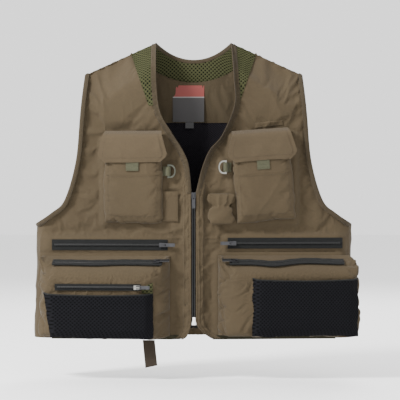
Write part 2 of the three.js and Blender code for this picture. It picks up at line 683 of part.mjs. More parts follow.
// ---------------------------------------------------------------- hem strap
const STRAP = { x: -83.5, half: 11.2, length: 49, h: 2.2 };
const strapShape = outline([
  [-STRAP.half, 0], [STRAP.half, 0],
  [STRAP.half + 5, -STRAP.length + 4], [-STRAP.half + 5, -STRAP.length - 1],
]);
piece(placed(plane.right, STRAP.x, 0, HEM_Z - 2), 'hem_strap',
  plate(strapShape, STRAP.h, STRAP.h + WEBBING), 'binding');

export default vest;
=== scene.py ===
"""Looks of the fishing vest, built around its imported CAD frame. Metres, +Z up, the fronts face -Y."""

import math

import bpy
import numpy as np
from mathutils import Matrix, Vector


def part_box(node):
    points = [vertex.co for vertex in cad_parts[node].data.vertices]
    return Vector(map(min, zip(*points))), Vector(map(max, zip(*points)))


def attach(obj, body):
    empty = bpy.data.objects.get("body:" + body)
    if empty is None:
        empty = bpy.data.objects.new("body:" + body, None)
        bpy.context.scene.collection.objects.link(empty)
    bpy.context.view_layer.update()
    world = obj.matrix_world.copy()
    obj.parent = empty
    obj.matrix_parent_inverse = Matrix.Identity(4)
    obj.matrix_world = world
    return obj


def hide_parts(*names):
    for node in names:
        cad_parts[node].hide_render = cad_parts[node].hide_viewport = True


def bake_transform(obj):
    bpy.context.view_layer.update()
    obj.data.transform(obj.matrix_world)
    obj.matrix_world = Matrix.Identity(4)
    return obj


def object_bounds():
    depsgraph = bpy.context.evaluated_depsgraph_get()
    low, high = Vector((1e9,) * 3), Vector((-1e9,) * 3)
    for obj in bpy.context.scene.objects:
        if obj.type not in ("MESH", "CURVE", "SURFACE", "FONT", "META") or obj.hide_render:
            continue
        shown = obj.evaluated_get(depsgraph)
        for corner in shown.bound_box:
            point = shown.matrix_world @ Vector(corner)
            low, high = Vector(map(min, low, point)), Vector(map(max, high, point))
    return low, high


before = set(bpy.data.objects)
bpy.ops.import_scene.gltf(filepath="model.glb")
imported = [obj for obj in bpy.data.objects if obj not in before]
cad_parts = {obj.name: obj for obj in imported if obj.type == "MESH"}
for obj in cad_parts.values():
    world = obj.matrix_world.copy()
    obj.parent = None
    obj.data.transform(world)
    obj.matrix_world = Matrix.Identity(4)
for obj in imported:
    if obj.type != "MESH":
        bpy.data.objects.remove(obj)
cad_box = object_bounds()

MM = 0.001
SIDES = {"right": -1, "left": 1}

# ---------------------------------------------------------------- the body's driving sizes, from the frame
back_low, back_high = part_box("back_panel")
front_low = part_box("front_panel_left")[0]
collar_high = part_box("collar_mesh")[1]
gore_low, gore_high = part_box("side_gore_left")
HEM_Z = back_low.z
SIDE_X = back_high.x
HEM_X = gore_high.x
FRONT_Y = front_low.y
SEAM_Y = (FRONT_Y + back_high.y) / 2 + 2 * MM
FRONT_DEPTH = SEAM_Y - FRONT_Y
BACK_DEPTH = back_high.y - SEAM_Y
NECK_X = 72 * MM
NECK_RISE = 7 * MM          # the padded collar lifts the shoulder beside the neck
NECK_Z = collar_high.z + NECK_RISE
SHOULDER_X = 204 * MM
SHOULDER_SLOPE = (NECK_Z + 30.8 * MM) / (SHOULDER_X - NECK_X)
UNDERARM_X = 297 * MM
FLAT_HALF = 20 * MM
WRAP = math.radians(5)
ROUND_HEIGHT = 70 * MM
SEAM_HALF = 0.8 * MM
CLOTH = 1.6 * MM
COLLAR_DROP = 45 * MM
COLLAR_X = 118 * MM
ARMHOLE = np.array([(204, -31), (211, -110), (219, -195), (240, -267), (265, -292), (297, -313)]) * MM
NECK_EDGE = {
    "right": np.array([(72, 29), (70, -55), (63, -104), (42, -142), (20, -177), (9, -205), (4.2, -255)]) * MM,
    "left": np.array([(72, 29), (76, -40), (77, -90), (54, -147), (32, -173), (18, -205), (4.2, -255)]) * MM,
}
ZIP_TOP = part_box("front_zip_left")[1].z
ZIP_GAP = 4.2 * MM
CORNER_TOP = -490 * MM
CORNER_CUT = {"right": 17 * MM, "left": 29 * MM}


# ---------------------------------------------------------------- numbers
def smooth(low, high, value):
    t = np.clip((np.asarray(value, float) - low) / (high - low), 0, 1)
    return t * t * (3 - 2 * t)


def mix(a, b, t):
    return a + (b - a) * t


def spline(points, count=80):
    """Points along a Catmull-Rom curve through the given ones."""
    points = np.asarray(points, float)
    line = []
    for t in np.linspace(0, len(points) - 1, count + 1):
        i = min(int(t), len(points) - 2)
        w = t - i
        p0, p1 = points[max(i - 1, 0)], points[i]
        p2, p3 = points[i + 1], points[min(i + 2, len(points) - 1)]
        v0, v1 = (p2 - p0) / 2, (p3 - p1) / 2
        line.append((2 * p1 - 2 * p2 + v0 + v1) * w ** 3 + (-3 * p1 + 3 * p2 - 2 * v0 - v1) * w ** 2 + v0 * w + p1)
    return np.array(line)


def reader(points, along):
    """A function that reads the other coordinate of a curve at a value of coordinate `along`."""
    line = spline(points, 60)
    line = line[np.argsort(line[:, along])]
    return lambda value: np.interp(value, line[:, along], line[:, 1 - along])


armhole_z = reader(ARMHOLE, 0)
armhole_x = reader(ARMHOLE, 1)
neck_edge_x = {side: reader(NECK_EDGE[side], 1) for side in SIDES}

LATTICE = np.random.RandomState(7).rand(128, 128)


def value_noise(u, v, shift=0):
    """Smooth noise from -1 to 1 with one bump per unit."""
    u = np.asarray(u, float) + 17.3 * shift
    v = np.asarray(v, float) + 9.7 * shift
    iu, iv = np.floor(u).astype(int), np.floor(v).astype(int)
    fu, fv = u - iu, v - iv
    fu, fv = fu * fu * (3 - 2 * fu), fv * fv * (3 - 2 * fv)
    at = lambda i, j: LATTICE[i % 128, j % 128]
    low = mix(at(iu, iv), at(iu + 1, iv), fu)
    high = mix(at(iu, iv + 1), at(iu + 1, iv + 1), fu)
    return 2 * mix(low, high, fv) - 1


def creases(u, v, shift=0):
    """Sharp soft-sided folds: 1 on a fold line and 0 between."""
    return (1 - np.abs(value_noise(u, v, shift))) ** 5


def crumple(u, v, size, shift=0):
    """Rumpled cloth, in units of its own height, over a length of about size."""
    u, v = u / size, v / size
    warp = 0.6 * value_noise(u * 0.7, v * 0.7, shift + 5)
    folds = creases(u + warp, v * 0.8 - warp, shift)
    return 0.55 * value_noise(u, v, shift + 1) + 0.7 * folds + 0.25 * value_noise(u * 2.7, v * 2.7, shift + 2)


# ---------------------------------------------------------------- the body's surfaces
def shoulder_z(x):
    a = np.abs(x)
    return np.where(a > NECK_X, NECK_Z - (a - NECK_X) * SHOULDER_SLOPE, NECK_Z + 50 * MM * (1 - (a / NECK_X) ** 2))


def depth_at(x, z, full):
    """How far the cloth stands from the plane of the seams."""
    flat = full - math.tan(WRAP) * np.maximum(0, np.abs(x) - FLAT_HALF)
    t = np.clip((shoulder_z(x) - z) / ROUND_HEIGHT, 0, 1)
    return SEAM_HALF + (flat - SEAM_HALF) * np.sin(t * math.pi / 2)


def front_point(x, z, h):
    return np.stack([x, SEAM_Y - depth_at(x, z, FRONT_DEPTH) - h, z], -1)


def back_point(x, z, h):
    return np.stack([x, SEAM_Y + depth_at(x, z, BACK_DEPTH) + h, z], -1)


def top_z(x):
    """Top edge of a whole front or back."""
    a = np.abs(x)
    neck = NECK_Z * (a / NECK_X) ** 2
    return np.where(a < NECK_X, neck, np.where(a < SHOULDER_X, shoulder_z(a), armhole_z(a)))


def collar_z(x):
    """Lower edge of the mesh collar."""
    rise = COLLAR_DROP + shoulder_z(COLLAR_X)
    return -COLLAR_DROP + rise * (np.asarray(x) / COLLAR_X) ** 2


def inner_x(side, z):
    """Front edge of a front: the neckline, then the zip, then the rounded lower corner."""
    t = np.clip((CORNER_TOP - z) / (CORNER_TOP - HEM_Z), 0, 1)
    curve = 1 - np.sqrt(1 - 0.98 * t * t) if side == "right" else t * t
    below = ZIP_GAP + CORNER_CUT[side] * 1.15 * curve
    return np.where(z > ZIP_TOP - 3 * MM, np.maximum(neck_edge_x[side](z), ZIP_GAP), below)


def outer_x(z):
    """Outer edge of a front: the shoulder seam, the armhole, then the side gore."""
    shoulder = NECK_X + (NECK_Z - z) / SHOULDER_SLOPE
    return np.where(z > ARMHOLE[0, 1], shoulder, np.minimum(SIDE_X, armhole_x(z)))


# The flat plane of each front beyond its middle strip: local x along the cloth, height h outwards, z up.
PLANE_Y = FRONT_Y - FLAT_HALF * math.tan(WRAP)


def on_plane(side, x, h, z):
    a = SIDES[side] * WRAP
    x, h, z = np.broadcast_arrays(np.asarray(x, float), h, z)
    return np.stack([x * math.cos(a) + h * math.sin(a), PLANE_Y + x * math.sin(a) - h * math.cos(a), z], -1)


def plane_box(side, node, tilt=0.0):
    """Lowest and highest local (x, h, z) of a CAD node on a front's plane."""
    a = SIDES[side] * WRAP
    co = np.array([v.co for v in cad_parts[node].data.vertices])
    y = co[:, 1] - PLANE_Y
    x = co[:, 0] * math.cos(a) + y * math.sin(a)
    h = co[:, 0] * math.sin(a) - y * math.cos(a)
    z = co[:, 2]
    c, s = math.cos(tilt), math.sin(tilt)
    local = np.stack([x * c + z * s, h, z * c - x * s], -1)
    return local.min(0), local.max(0)


# ---------------------------------------------------------------- meshes
def new_object(name, points, faces, material, sharp=50):
    mesh = bpy.data.meshes.new(name)
    mesh.from_pydata([tuple(p) for p in points], [], faces)
    mesh.update()
    for polygon in mesh.polygons:
        polygon.use_smooth = True
    mesh.set_sharp_from_angle(angle=math.radians(sharp))
    rest = mesh.attributes.new("rest", "FLOAT_VECTOR", "POINT")
    rest.data.foreach_set("vector", np.asarray(points, np.float32).ravel())
    mesh.materials.append(material)
    piece = bpy.data.objects.new(name, mesh)
    bpy.context.scene.collection.objects.link(piece)
    return piece


def grid_faces(rows, columns, start=0, flip=False, wrap=False):
    i, j = np.meshgrid(np.arange(rows - 1), np.arange(columns if wrap else columns - 1), indexing="ij")
    a = start + i * columns + j
    b = start + i * columns + (j + 1) % columns
    quads = np.stack([a, b, b + columns, a + columns], -1).reshape(-1, 4)
    return (quads[:, ::-1] if flip else quads).tolist()


def normals_of(grid):
    du = np.gradient(grid, axis=1)
    dv = np.gradient(grid, axis=0)
    n = np.cross(du, dv)
    return n / np.maximum(np.linalg.norm(n, axis=-1, keepdims=True), 1e-12)


def outward_volume(points, faces):
    points = np.asarray(points)
    quads = np.array(faces)
    a, b, c, d = (points[quads[:, k]] for k in range(4))
    return np.einsum("ij,ij->i", a, np.cross(b, c)).sum() + np.einsum("ij,ij->i", a, np.cross(c, d)).sum()


def sheet(name, outer, inner, material, sharp=50):
    """A closed sheet between two grids of points."""
    rows, columns = outer.shape[:2]
    count = rows * columns
    points = np.concatenate([outer.reshape(-1, 3), inner.reshape(-1, 3)])
    faces = grid_faces(rows, columns) + grid_faces(rows, columns, count, flip=True)
    ids = np.arange(count).reshape(rows, columns)
    loop = np.concatenate([ids[0, :-1], ids[:-1, -1], ids[-1, :0:-1], ids[:0:-1, 0]])
    after = np.roll(loop, -1)
    faces += [[int(b), int(a), int(a + count), int(b + count)] for a, b in zip(loop, after)]
    if outward_volume(points, faces) < 0:
        faces = [face[::-1] for face in faces]
    return new_object(name, points, faces, material, sharp)


def cloth_sheet(name, outer, thickness, material, inward):
    """A sheet whose inner face lies a thickness inside its outer one."""
    n = normals_of(outer)
    n *= np.sign(np.einsum("ijk,k->ij", n, np.asarray(inward, float)).mean())
    return sheet(name, outer, outer + n * thickness, material)


def tube(name, rings, material, closed=False, sharp=60):
    """A solid through rings of points; open ends are capped."""
    rings = np.asarray(rings)
    count, around = rings.shape[:2]
    points = rings.reshape(-1, 3)
    faces = grid_faces(count, around, wrap=True)
    if closed:
        last = (count - 1) * around
        faces += [[last + j, last + (j + 1) % around, (j + 1) % around, j] for j in range(around)]
    if outward_volume(points, faces) < 0:
        faces = [face[::-1] for face in faces]
        ends = [list(range(around)), list(range((count - 1) * around, count * around))[::-1]]
    else:
        ends = [list(range(around))[::-1], list(range((count - 1) * around, count * around))]
    if not closed:
        faces += ends
    return new_object(name, points, faces, material, sharp)


def ride(piece, body, slot, *nodes):
    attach(piece, body)
    if nodes:
        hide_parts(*nodes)
    return piece


def fold(piece, side, slot, *nodes):
    """The piece keeps its points in world space, its transform baked in, and the CAD nodes it replaces are hidden."""
    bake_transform(piece)
    if nodes:
        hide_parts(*nodes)
    return piece


# ---------------------------------------------------------------- sewing
STITCH = 2.6 * MM
STITCH_STEP = 3.5 * MM
THREAD_HALF = 0.3 * MM


def stitches(name, line, outward):
    """A row of thread dashes lying along a line of points."""
    line = np.asarray(line, float)
    lengths = np.concatenate([[0], np.cumsum(np.linalg.norm(np.diff(line, axis=0), axis=1))])
    outward = np.asarray(outward, float)
    points, faces = [], []
    for k in range(int((lengths[-1] - STITCH) / STITCH_STEP)):
        ends = [(k + 0.3) * STITCH_STEP, (k + 0.3) * STITCH_STEP + STITCH]
        a, b = (np.array([np.interp(e, lengths, line[:, i]) for i in range(3)]) for e in ends)
        across = np.cross(b - a, outward)
        across *= THREAD_HALF / max(np.linalg.norm(across), 1e-9)
        up = outward * THREAD_HALF
        middle = (a + b) / 2
        start = len(points)
        points += [a, middle + across, b, middle - across, middle + up * 1.4, middle - up]
        for i in range(4):
            j = (i + 1) % 4
            faces += [[start + i, start + j, start + 4], [start + j, start + i, start + 5]]
    piece = new_object(name, points, faces, THREAD)
    volume = sum(np.dot(points[f[0]], np.cross(points[f[1]], points[f[2]])) for f in faces[:8])
    if volume < 0:
        piece.data.flip_normals()
    return piece


# ---------------------------------------------------------------- materials
class Nodes:
    """Short names for building a material's node tree."""

    def __init__(self, name):
        self.material = bpy.data.materials.new(name)
        self.material.use_nodes = True
        self.tree = self.material.node_tree
        self.shader = self.tree.nodes["Principled BSDF"]

    def add(self, kind, inputs=None, **settings):
        node = self.tree.nodes.new(kind)
        for key, value in settings.items():
            setattr(node, key, value)
        for key, value in (inputs or {}).items():
            if isinstance(value, bpy.types.NodeSocket):
                self.tree.links.new(value, node.inputs[key])
            else:
                node.inputs[key].default_value = value
        return node

    def math(self, operation, a, b=0.0, c=0.0):
        return self.add("ShaderNodeMath", {0: a, 1: b, 2: c}, operation=operation).outputs[0]

    def noise(self, where, scale, detail=3.0, roughness=0.55):
        values = {"Vector": where, "Scale": scale, "Detail": detail, "Roughness": roughness}
        return self.add("ShaderNodeTexNoise", values).outputs["Fac"]

    def colours(self, factor, *stops):
        ramp = self.add("ShaderNodeValToRGB", {"Fac": factor})
        ramp.color_ramp.elements[0].position, ramp.color_ramp.elements[0].color = stops[0][0], (*stops[0][1], 1)
        ramp.color_ramp.elements[1].position, ramp.color_ramp.elements[1].color = stops[-1][0], (*stops[-1][1], 1)
        for position, colour in stops[1:-1]:
            ramp.color_ramp.elements.new(position).color = (*colour, 1)
        return ramp.outputs["Color"]

    def link(self, value, socket):
        self.tree.links.new(value, self.shader.inputs[socket])

    def bump(self, height, strength, distance):
        values = {"Height": height, "Strength": strength, "Distance": distance}
        self.link(self.add("ShaderNodeBump", values).outputs["Normal"], "Normal")

    def place(self, attribute=True):
        """The point at rest, which a texture sticks to in every pose."""
        if attribute:
            return self.add("ShaderNodeAttribute", attribute_name="rest").outputs["Vector"]
        return self.add("ShaderNodeTexCoord").outputs["Object"]


DYE = 0.235                  # how dark the cloth is beside the colours it shows under bright studio light


def linear(r, g, b, dye=DYE):
    channels = (c / 12.92 if c <= 0.04045 else ((c + 0.055) / 1.055) ** 2.4 for c in (r / 255, g / 255, b / 255))
    return tuple(c * dye for c in channels)


def shade(colour, factor):
    return tuple(c * factor for c in colour)


def cloth_axes(n, where):
    """Across and up, so that a weave runs round the body's sides too."""
    parts = n.add("ShaderNodeSeparateXYZ", {"Vector": where})
    return n.math("ADD", parts.outputs["X"], parts.outputs["Y"]), parts.outputs["Z"]


def woven(name, colour, thread=0.7 * MM, sheen=0.06, roughness=0.85, fade=0.16, attribute=True):
    """Plain woven cloth: crossing threads, a brushed sheen, faint fading and slubs."""
    n = Nodes(name)
    where = n.place(attribute)
    across, up = cloth_axes(n, where)
    turn = 2 * math.pi / thread
    warp = n.math("SINE", n.math("MULTIPLY", across, turn))
    weft = n.math("SINE", n.math("MULTIPLY", up, turn))
    weave = n.math("MULTIPLY", warp, weft)
    broad = n.noise(where, 7, 4)
    slub = n.noise(where, 260, 2)
    wear = n.math("MULTIPLY_ADD", broad, 0.65, n.math("MULTIPLY", slub, 0.35))
    dark, light = shade(colour, 1 - fade), shade(colour, 1 + fade)
    base = n.colours(wear, (0.3, dark), (0.5, colour), (0.7, light))
    threads = n.math("MULTIPLY_ADD", weave, 0.06, 1.0)
    tone = n.add("ShaderNodeVectorMath", {0: base, 1: n.add(
        "ShaderNodeCombineXYZ", {0: threads, 1: threads, 2: threads}).outputs[0]}, operation="MULTIPLY")
    n.link(tone.outputs[0], "Base Color")
    rough = n.math("MULTIPLY_ADD", slub, 0.12, roughness - 0.06)
    n.link(rough, "Roughness")
    height = n.math("MULTIPLY_ADD", weave, 0.5, n.math("MULTIPLY", slub, 0.8))
    n.bump(height, 0.35, 0.35 * MM)
    n.shader.inputs["Sheen Weight"].default_value = sheen
    n.shader.inputs["Sheen Roughness"].default_value = 0.5
    n.shader.inputs["Specular IOR Level"].default_value = 0.15
    return n.material


def netting(name, colour, hole_shade, pitch=3 * MM, share=0.3, over=0, attribute=True):
    """Knitted mesh: rows of small offset holes, painted in a dark colour as the shade seen through them, since the
    sheet itself is solid; over = 1 or -1 runs it over the front or back of a shoulder.
    """
    n = Nodes(name)
    where = n.place(attribute)
    across, up = cloth_axes(n, where)
    if over:
        parts = n.add("ShaderNodeSeparateXYZ", {"Vector": where})
        across, up = parts.outputs["X"], n.math("MULTIPLY_ADD", parts.outputs["Y"], over, parts.outputs["Z"])
    turn = 2 * math.pi / pitch
    a = n.math("COSINE", n.math("MULTIPLY", n.math("ADD", across, up), turn * 0.7))
    b = n.math("COSINE", n.math("MULTIPLY", n.math("SUBTRACT", across, up), turn * 0.7))
    eye = n.math("MULTIPLY_ADD", n.math("ADD", a, b), 0.25, 0.5)
    yarn = n.noise(where, 500, 2)
    open_share = n.math("MULTIPLY_ADD", yarn, 0.1, eye)
    # the yarn's colour runs into the painted shade of the holes
    base = n.colours(open_share, (0.5 - share * 0.5, shade(colour, 1.2)), (0.62, colour), (0.85, hole_shade))
    n.link(base, "Base Color")
    n.shader.inputs["Roughness"].default_value = 0.8
    n.shader.inputs["Specular IOR Level"].default_value = 0.06
    n.bump(n.math("SUBTRACT", n.math("MULTIPLY", yarn, 0.4), open_share), 0.8, 0.8 * MM)
    return n.material


def ribbed(name, colour, pitch=1.6 * MM, along_x=False, attribute=True, sheen=0.05):
    """Ribbed tape or webbing with fine cross yarns."""
    n = Nodes(name)
    where = n.place(attribute)
    across, up = cloth_axes(n, where)
    main, cross = (up, across) if along_x else (across, up)
    ribs = n.math("SINE", n.math("MULTIPLY", main, 2 * math.pi / pitch))
    yarn = n.math("SINE", n.math("MULTIPLY", cross, 2 * math.pi / (pitch * 0.55)))
    weave = n.math("MULTIPLY_ADD", yarn, 0.4, ribs)
    fuzz = n.noise(where, 420, 2)
    base = n.colours(n.math("MULTIPLY_ADD", weave, 0.12, n.math("MULTIPLY", fuzz, 0.9)),
                     (0.2, shade(colour, 0.78)), (0.5, colour), (0.8, shade(colour, 1.2)))
    n.link(base, "Base Color")
    n.shader.inputs["Roughness"].default_value = 0.85
    n.shader.inputs["Specular IOR Level"].default_value = 0.2
    n.shader.inputs["Sheen Weight"].default_value = sheen
    n.bump(n.math("MULTIPLY_ADD", fuzz, 0.5, weave), 0.4, 0.3 * MM)
    return n.material


def metal(name, colour, roughness, metallic=1.0, attribute=False):
    """Plated metal with fine scuffs and uneven polish."""
    n = Nodes(name)
    where = n.place(attribute)
    scuff = n.noise(where, 900, 5, 0.7)
    cloud = n.noise(where, 120, 3)
    base = n.colours(cloud, (0.3, shade(colour, 0.85)), (0.7, shade(colour, 1.1)))
    n.link(base, "Base Color")
    n.link(n.math("MULTIPLY_ADD", scuff, 0.25, roughness - 0.1), "Roughness")
    n.shader.inputs["Metallic"].default_value = metallic
    n.bump(scuff, 0.12, 0.1 * MM)
    return n.material


def plastic(name, colour, roughness=0.4, attribute=True):
    n = Nodes(name)
    where = n.place(attribute)
    grain = n.noise(where, 700, 3)
    base = n.colours(grain, (0.3, shade(colour, 0.8)), (0.7, shade(colour, 1.15)))
    n.link(base, "Base Color")
    n.link(n.math("MULTIPLY_ADD", grain, 0.2, roughness - 0.1), "Roughness")
    n.bump(grain, 0.15, 0.1 * MM)
    return n.material


def label_material(name, low, high):
    """A woven label: a red band over a charcoal field, and a pale line between them."""
    n = Nodes(name)
    where = n.place()
    parts = n.add("ShaderNodeSeparateXYZ", {"Vector": where})
    share = n.math("DIVIDE", n.math("SUBTRACT", parts.outputs["Z"], low), high - low)
    ramp = n.colours(share, (0.0, linear(58, 52, 52)), (0.66, linear(62, 55, 54)), (0.665, linear(205, 200, 195)),
                     (0.69, linear(205, 200, 195)), (0.695, linear(205, 72, 58)), (1.0, linear(200, 68, 54)))
    n.link(ramp, "Base Color")
    satin = n.math("SINE", n.math("MULTIPLY", n.math("ADD", parts.outputs["X"], parts.outputs["Z"]), 9000))
    n.bump(satin, 0.2, 0.1 * MM)
    n.shader.inputs["Roughness"].default_value = 0.6
    n.shader.inputs["Sheen Weight"].default_value = 0.2
    return n.material


SHELL = woven("shell_cloth", linear(122, 105, 78))
# The shell cloth painted lighter for the chest flaps: painted light on their faces, not a different fabric.
FLAP_PAINTED_LIGHT = woven("flap_cloth", linear(131, 113, 86))
FACING = woven("facing_cloth", linear(112, 97, 72), sheen=0.06)
# The second colour of each net is the painted shade inside its holes.
GREEN = netting("green_net", linear(104, 106, 72), linear(18, 24, 8), 5.2 * MM, share=0.7, over=1)
COLLAR_NET = netting("collar_net", linear(104, 106, 72), linear(18, 24, 8), 5.2 * MM, share=0.7, over=-1)
BLACK = netting("black_net", linear(36, 36, 41), linear(2, 2, 3), 4.8 * MM, share=0.5)
LINING = netting("lining_net", linear(52, 49, 55), linear(16, 15, 18), 3.0 * MM, share=0.5)
BINDING = ribbed("binding_tape", linear(104, 89, 64), 1.1 * MM)
WEBBING = ribbed("green_webbing", linear(122, 122, 94), 1.6 * MM)
OLIVE = woven("olive_hem", linear(72, 68, 44))
STRAP = ribbed("strap_webbing", linear(92, 78, 62), 1.6 * MM)
TAPE = ribbed("zip_tape_cloth", linear(32, 34, 33), 0.9 * MM, along_x=True)
COIL = plastic("zip_coil", linear(22, 23, 24))
THREAD = ribbed("sewing_thread", linear(104, 92, 72), 0.5 * MM)
DARK_METAL = metal("dark_plating", linear(70, 70, 72, 1), 0.4)
STEEL = metal("ring_steel", linear(150, 150, 144, 1), 0.28)
# Darker steel for the right D-ring: a painted reflection on the same steel as the left ring's.
RING_STEEL_PAINTED_DARK = metal("ring_steel_painted_dark", linear(84, 86, 78, 1), 0.4)
# Near-white and mostly diffuse: the box's bright nickel, with the white studio's reflection painted into its colour.
BOX_NICKEL_PAINTED_REFLECTION = metal("box_metal", linear(245, 243, 240, 1), 0.35, metallic=0.3, attribute=True)
PILE = woven("hook_pile", linear(96, 84, 66), thread=1.1 * MM, sheen=0.05)
TAB = plastic("tab_satin", linear(34, 33, 36), 0.5)


# ---------------------------------------------------------------- camera, floor and light
FIELD = 741 * MM            # width of the view at the vest's front
LENS = 140.0
SENSOR = 36.0
AIM = Vector((12 * MM, 0, -267 * MM))


def set_stage():
    camera_data = bpy.data.cameras.new("camera")
    camera_data.lens = LENS
    camera_data.sensor_width = SENSOR
    camera = bpy.data.objects.new("camera", camera_data)
    away = FIELD / 2 / (SENSOR / 2 / LENS)
    camera.location = (AIM.x, FRONT_Y - 10 * MM - away, AIM.z)
    camera.rotation_euler = (math.pi / 2, 0, 0)
    bpy.context.scene.collection.objects.link(camera)
    bpy.context.scene.camera = camera

    floor_z = cad_box[0].z - 25 * MM
    mesh = bpy.data.meshes.new("floor")
    size = 12
    mesh.from_pydata([(-size, -size, floor_z), (size, -size, floor_z), (size, size, floor_z), (-size, size, floor_z)],
                     [], [(0, 1, 2, 3)])
    floor = bpy.data.objects.new("floor", mesh)
    ground = bpy.data.materials.new("floor_white")
    ground.use_nodes = True
    ground.node_tree.nodes["Principled BSDF"].inputs["Base Color"].default_value = (0.9, 0.9, 0.9, 1)
    ground.node_tree.nodes["Principled BSDF"].inputs["Roughness"].default_value = 0.9
    mesh.materials.append(ground)
    bpy.context.scene.collection.objects.link(floor)

    world = bpy.data.worlds.new("studio")
    world.use_nodes = True
    world.node_tree.nodes["Background"].inputs["Color"].default_value = (1, 1, 1, 1)
    world.node_tree.nodes["Background"].inputs["Strength"].default_value = 1.6
    bpy.context.scene.world = world

    for name, place, power, size in [
        ("key", (-1.7, -1.4, 1.3), 160, 0.6),
        ("fill", (1.8, -2.0, 0.2), 10, 2.0),
        ("rim", (0.5, 2.0, 1.4), 60, 1.4),
    ]:
        light_data = bpy.data.lights.new(name, "AREA")
        light_data.energy = power
        light_data.size = size
        light = bpy.data.objects.new(name, light_data)
        light.location = place
        light.rotation_euler = (Vector((0, 0, -0.25)) - Vector(place)).to_track_quat("-Z", "Y").to_euler()
        bpy.context.scene.collection.objects.link(light)


set_stage()


# ---------------------------------------------------------------- cloth simulation
SIM_SCALE = 5.0             # the solver works better on cells of a centimetre or more


def drape(rest, outward, held, grow, reach, frames=16, pressure=0.0, gravity=0.15, bend=0.6, seed=0):
    """The sheet of points after its cloth, cut a little too large, has settled; reach = (most inwards, most out)."""
    n = normals_of(rest)
    n = n * np.sign((n @ np.asarray(outward, float)).mean())
    rows, columns = rest.shape[:2]
    wake = 0.4 * MM * value_noise(rest[..., 0] / 0.02 + rest[..., 1] / 0.02, rest[..., 2] / 0.03, seed)
    start = rest + n * (wake * (1 - held))[..., None]
    mesh = bpy.data.meshes.new("draping")
    mesh.from_pydata((start.reshape(-1, 3) * SIM_SCALE).tolist(), [], grid_faces(rows, columns))
    cloth = bpy.data.objects.new("draping", mesh)
    bpy.context.scene.collection.objects.link(cloth)
    group = cloth.vertex_groups.new(name="held")
    for index, weight in enumerate(held.ravel()):
        group.add([index], float(weight), "REPLACE")
    modifier = cloth.modifiers.new("cloth", "CLOTH")
    settings = modifier.settings
    settings.vertex_group_mass = "held"
    settings.pin_stiffness = 1.0
    settings.quality = 6
    settings.mass = 0.2
    settings.tension_stiffness = settings.compression_stiffness = 25
    settings.shear_stiffness = 8
    settings.bending_stiffness = bend
    settings.air_damping = 2
    settings.shrink_min = -grow
    settings.effector_weights.gravity = gravity
    settings.use_pressure = pressure > 0
    settings.uniform_pressure_force = pressure
    modifier.point_cache.frame_start = 1
    modifier.point_cache.frame_end = frames
    scene = bpy.context.scene
    for frame_number in range(1, frames + 1):
        scene.frame_set(frame_number)
    settled = cloth.evaluated_get(bpy.context.evaluated_depsgraph_get()).to_mesh()
    points = np.empty(rows * columns * 3)
    settled.vertices.foreach_get("co", points)
    bpy.data.objects.remove(cloth)
    scene.frame_set(1)
    move = points.reshape(rows, columns, 3) / SIM_SCALE - rest
    out = np.einsum("ijk,ijk->ij", move, n)
    along = move - n * out[..., None]
    low, high = reach
    out = np.where(out > 0, high * np.tanh(out / max(high, 1e-6)), low * np.tanh(out / low))
    return rest + n * out[..., None] + along * 0.5


# ---------------------------------------------------------------- cloth of the body
def quiet(side, x, z):
    """0 where something is sewn flat on a front, and 1 a little away from it."""
    spread = 14 * MM
    still = np.ones_like(x)
    for node in (f"upper_{side}_zip", f"cargo_pocket_{side}", f"chest_pouch_{side}", f"d_ring_tab_{side}"):
        low, high = plane_box(side, node)
        dx = np.maximum(np.maximum(low[0] - x, x - high[0]), 0)
        dz = np.maximum(np.maximum(low[2] - z, z - high[2]), 0)
        still = np.minimum(still, smooth(0, spread, np.hypot(dx, dz)))
    return still


def front_wrinkles(side, x, z):
    """Height of the folds in a front's cloth, never much above its flat face."""
    seed = 3 if side == "right" else 11
    a = np.abs(x)
    broad = 4.0 * MM * (value_noise(x / 0.10, z / 0.17, seed) - 0.5)
    folds = 2.6 * MM * (crumple(x, z * 0.75, 0.075, seed) - 0.9)
    fine = 0.7 * MM * (crumple(x, z, 0.022, seed + 3) - 0.8)
    pucker = 0.7 * MM * np.sin(z / (5.5 * MM) + 2 * value_noise(x / 0.01, z / 0.02, seed)) * smooth(0.03, 0.012, a)
    side_crush = 1.5 * MM * (crumple(x * 2, z, 0.03, seed + 8) - 0.8) * smooth(0.20, 0.27, a)
    calm_top = smooth(-0.02, 0.03, shoulder_z(x) - z)
    body = (broad + folds + fine + side_crush) * quiet(side, x, z) * smooth(0.004, 0.03, a) * calm_top
    hem = 0.7 * MM * smooth(HEM_Z + 0.019, HEM_Z + 0.016, z)
    return body + pucker * smooth(ZIP_TOP + 0.03, ZIP_TOP, z) * 0.5 + hem


LIFT = {}                   # how far each finished outer face of cloth stands off its plain form


def sample(lift, row, column):
    """Bilinear reading of a grid at fractional rows and columns from 0 to 1."""
    rows, columns = lift.shape
    r = np.clip(row, 0, 1) * (rows - 1)
    c = np.clip(column, 0, 1) * (columns - 1)
    i = np.minimum(r.astype(int), rows - 2)
    j = np.minimum(c.astype(int), columns - 2)
    r, c = r - i, c - j
    low = mix(lift[i, j], lift[i, j + 1], c)
    return mix(low, mix(lift[i + 1, j], lift[i + 1, j + 1], c), r)


def front_surface(side, x, z, h):
    """A point h outside the finished cloth of a front."""
    x, z, h = np.broadcast_arrays(np.asarray(x, float), z, h)
    row = (z - HEM_Z) / (NECK_Z - HEM_Z)
    lo, hi = inner_x(side, z), outer_x(z)
    lift = sample(LIFT[side], row, (np.abs(x) - lo) / np.maximum(hi - lo, MM))
    return front_point(x, z, h + lift)


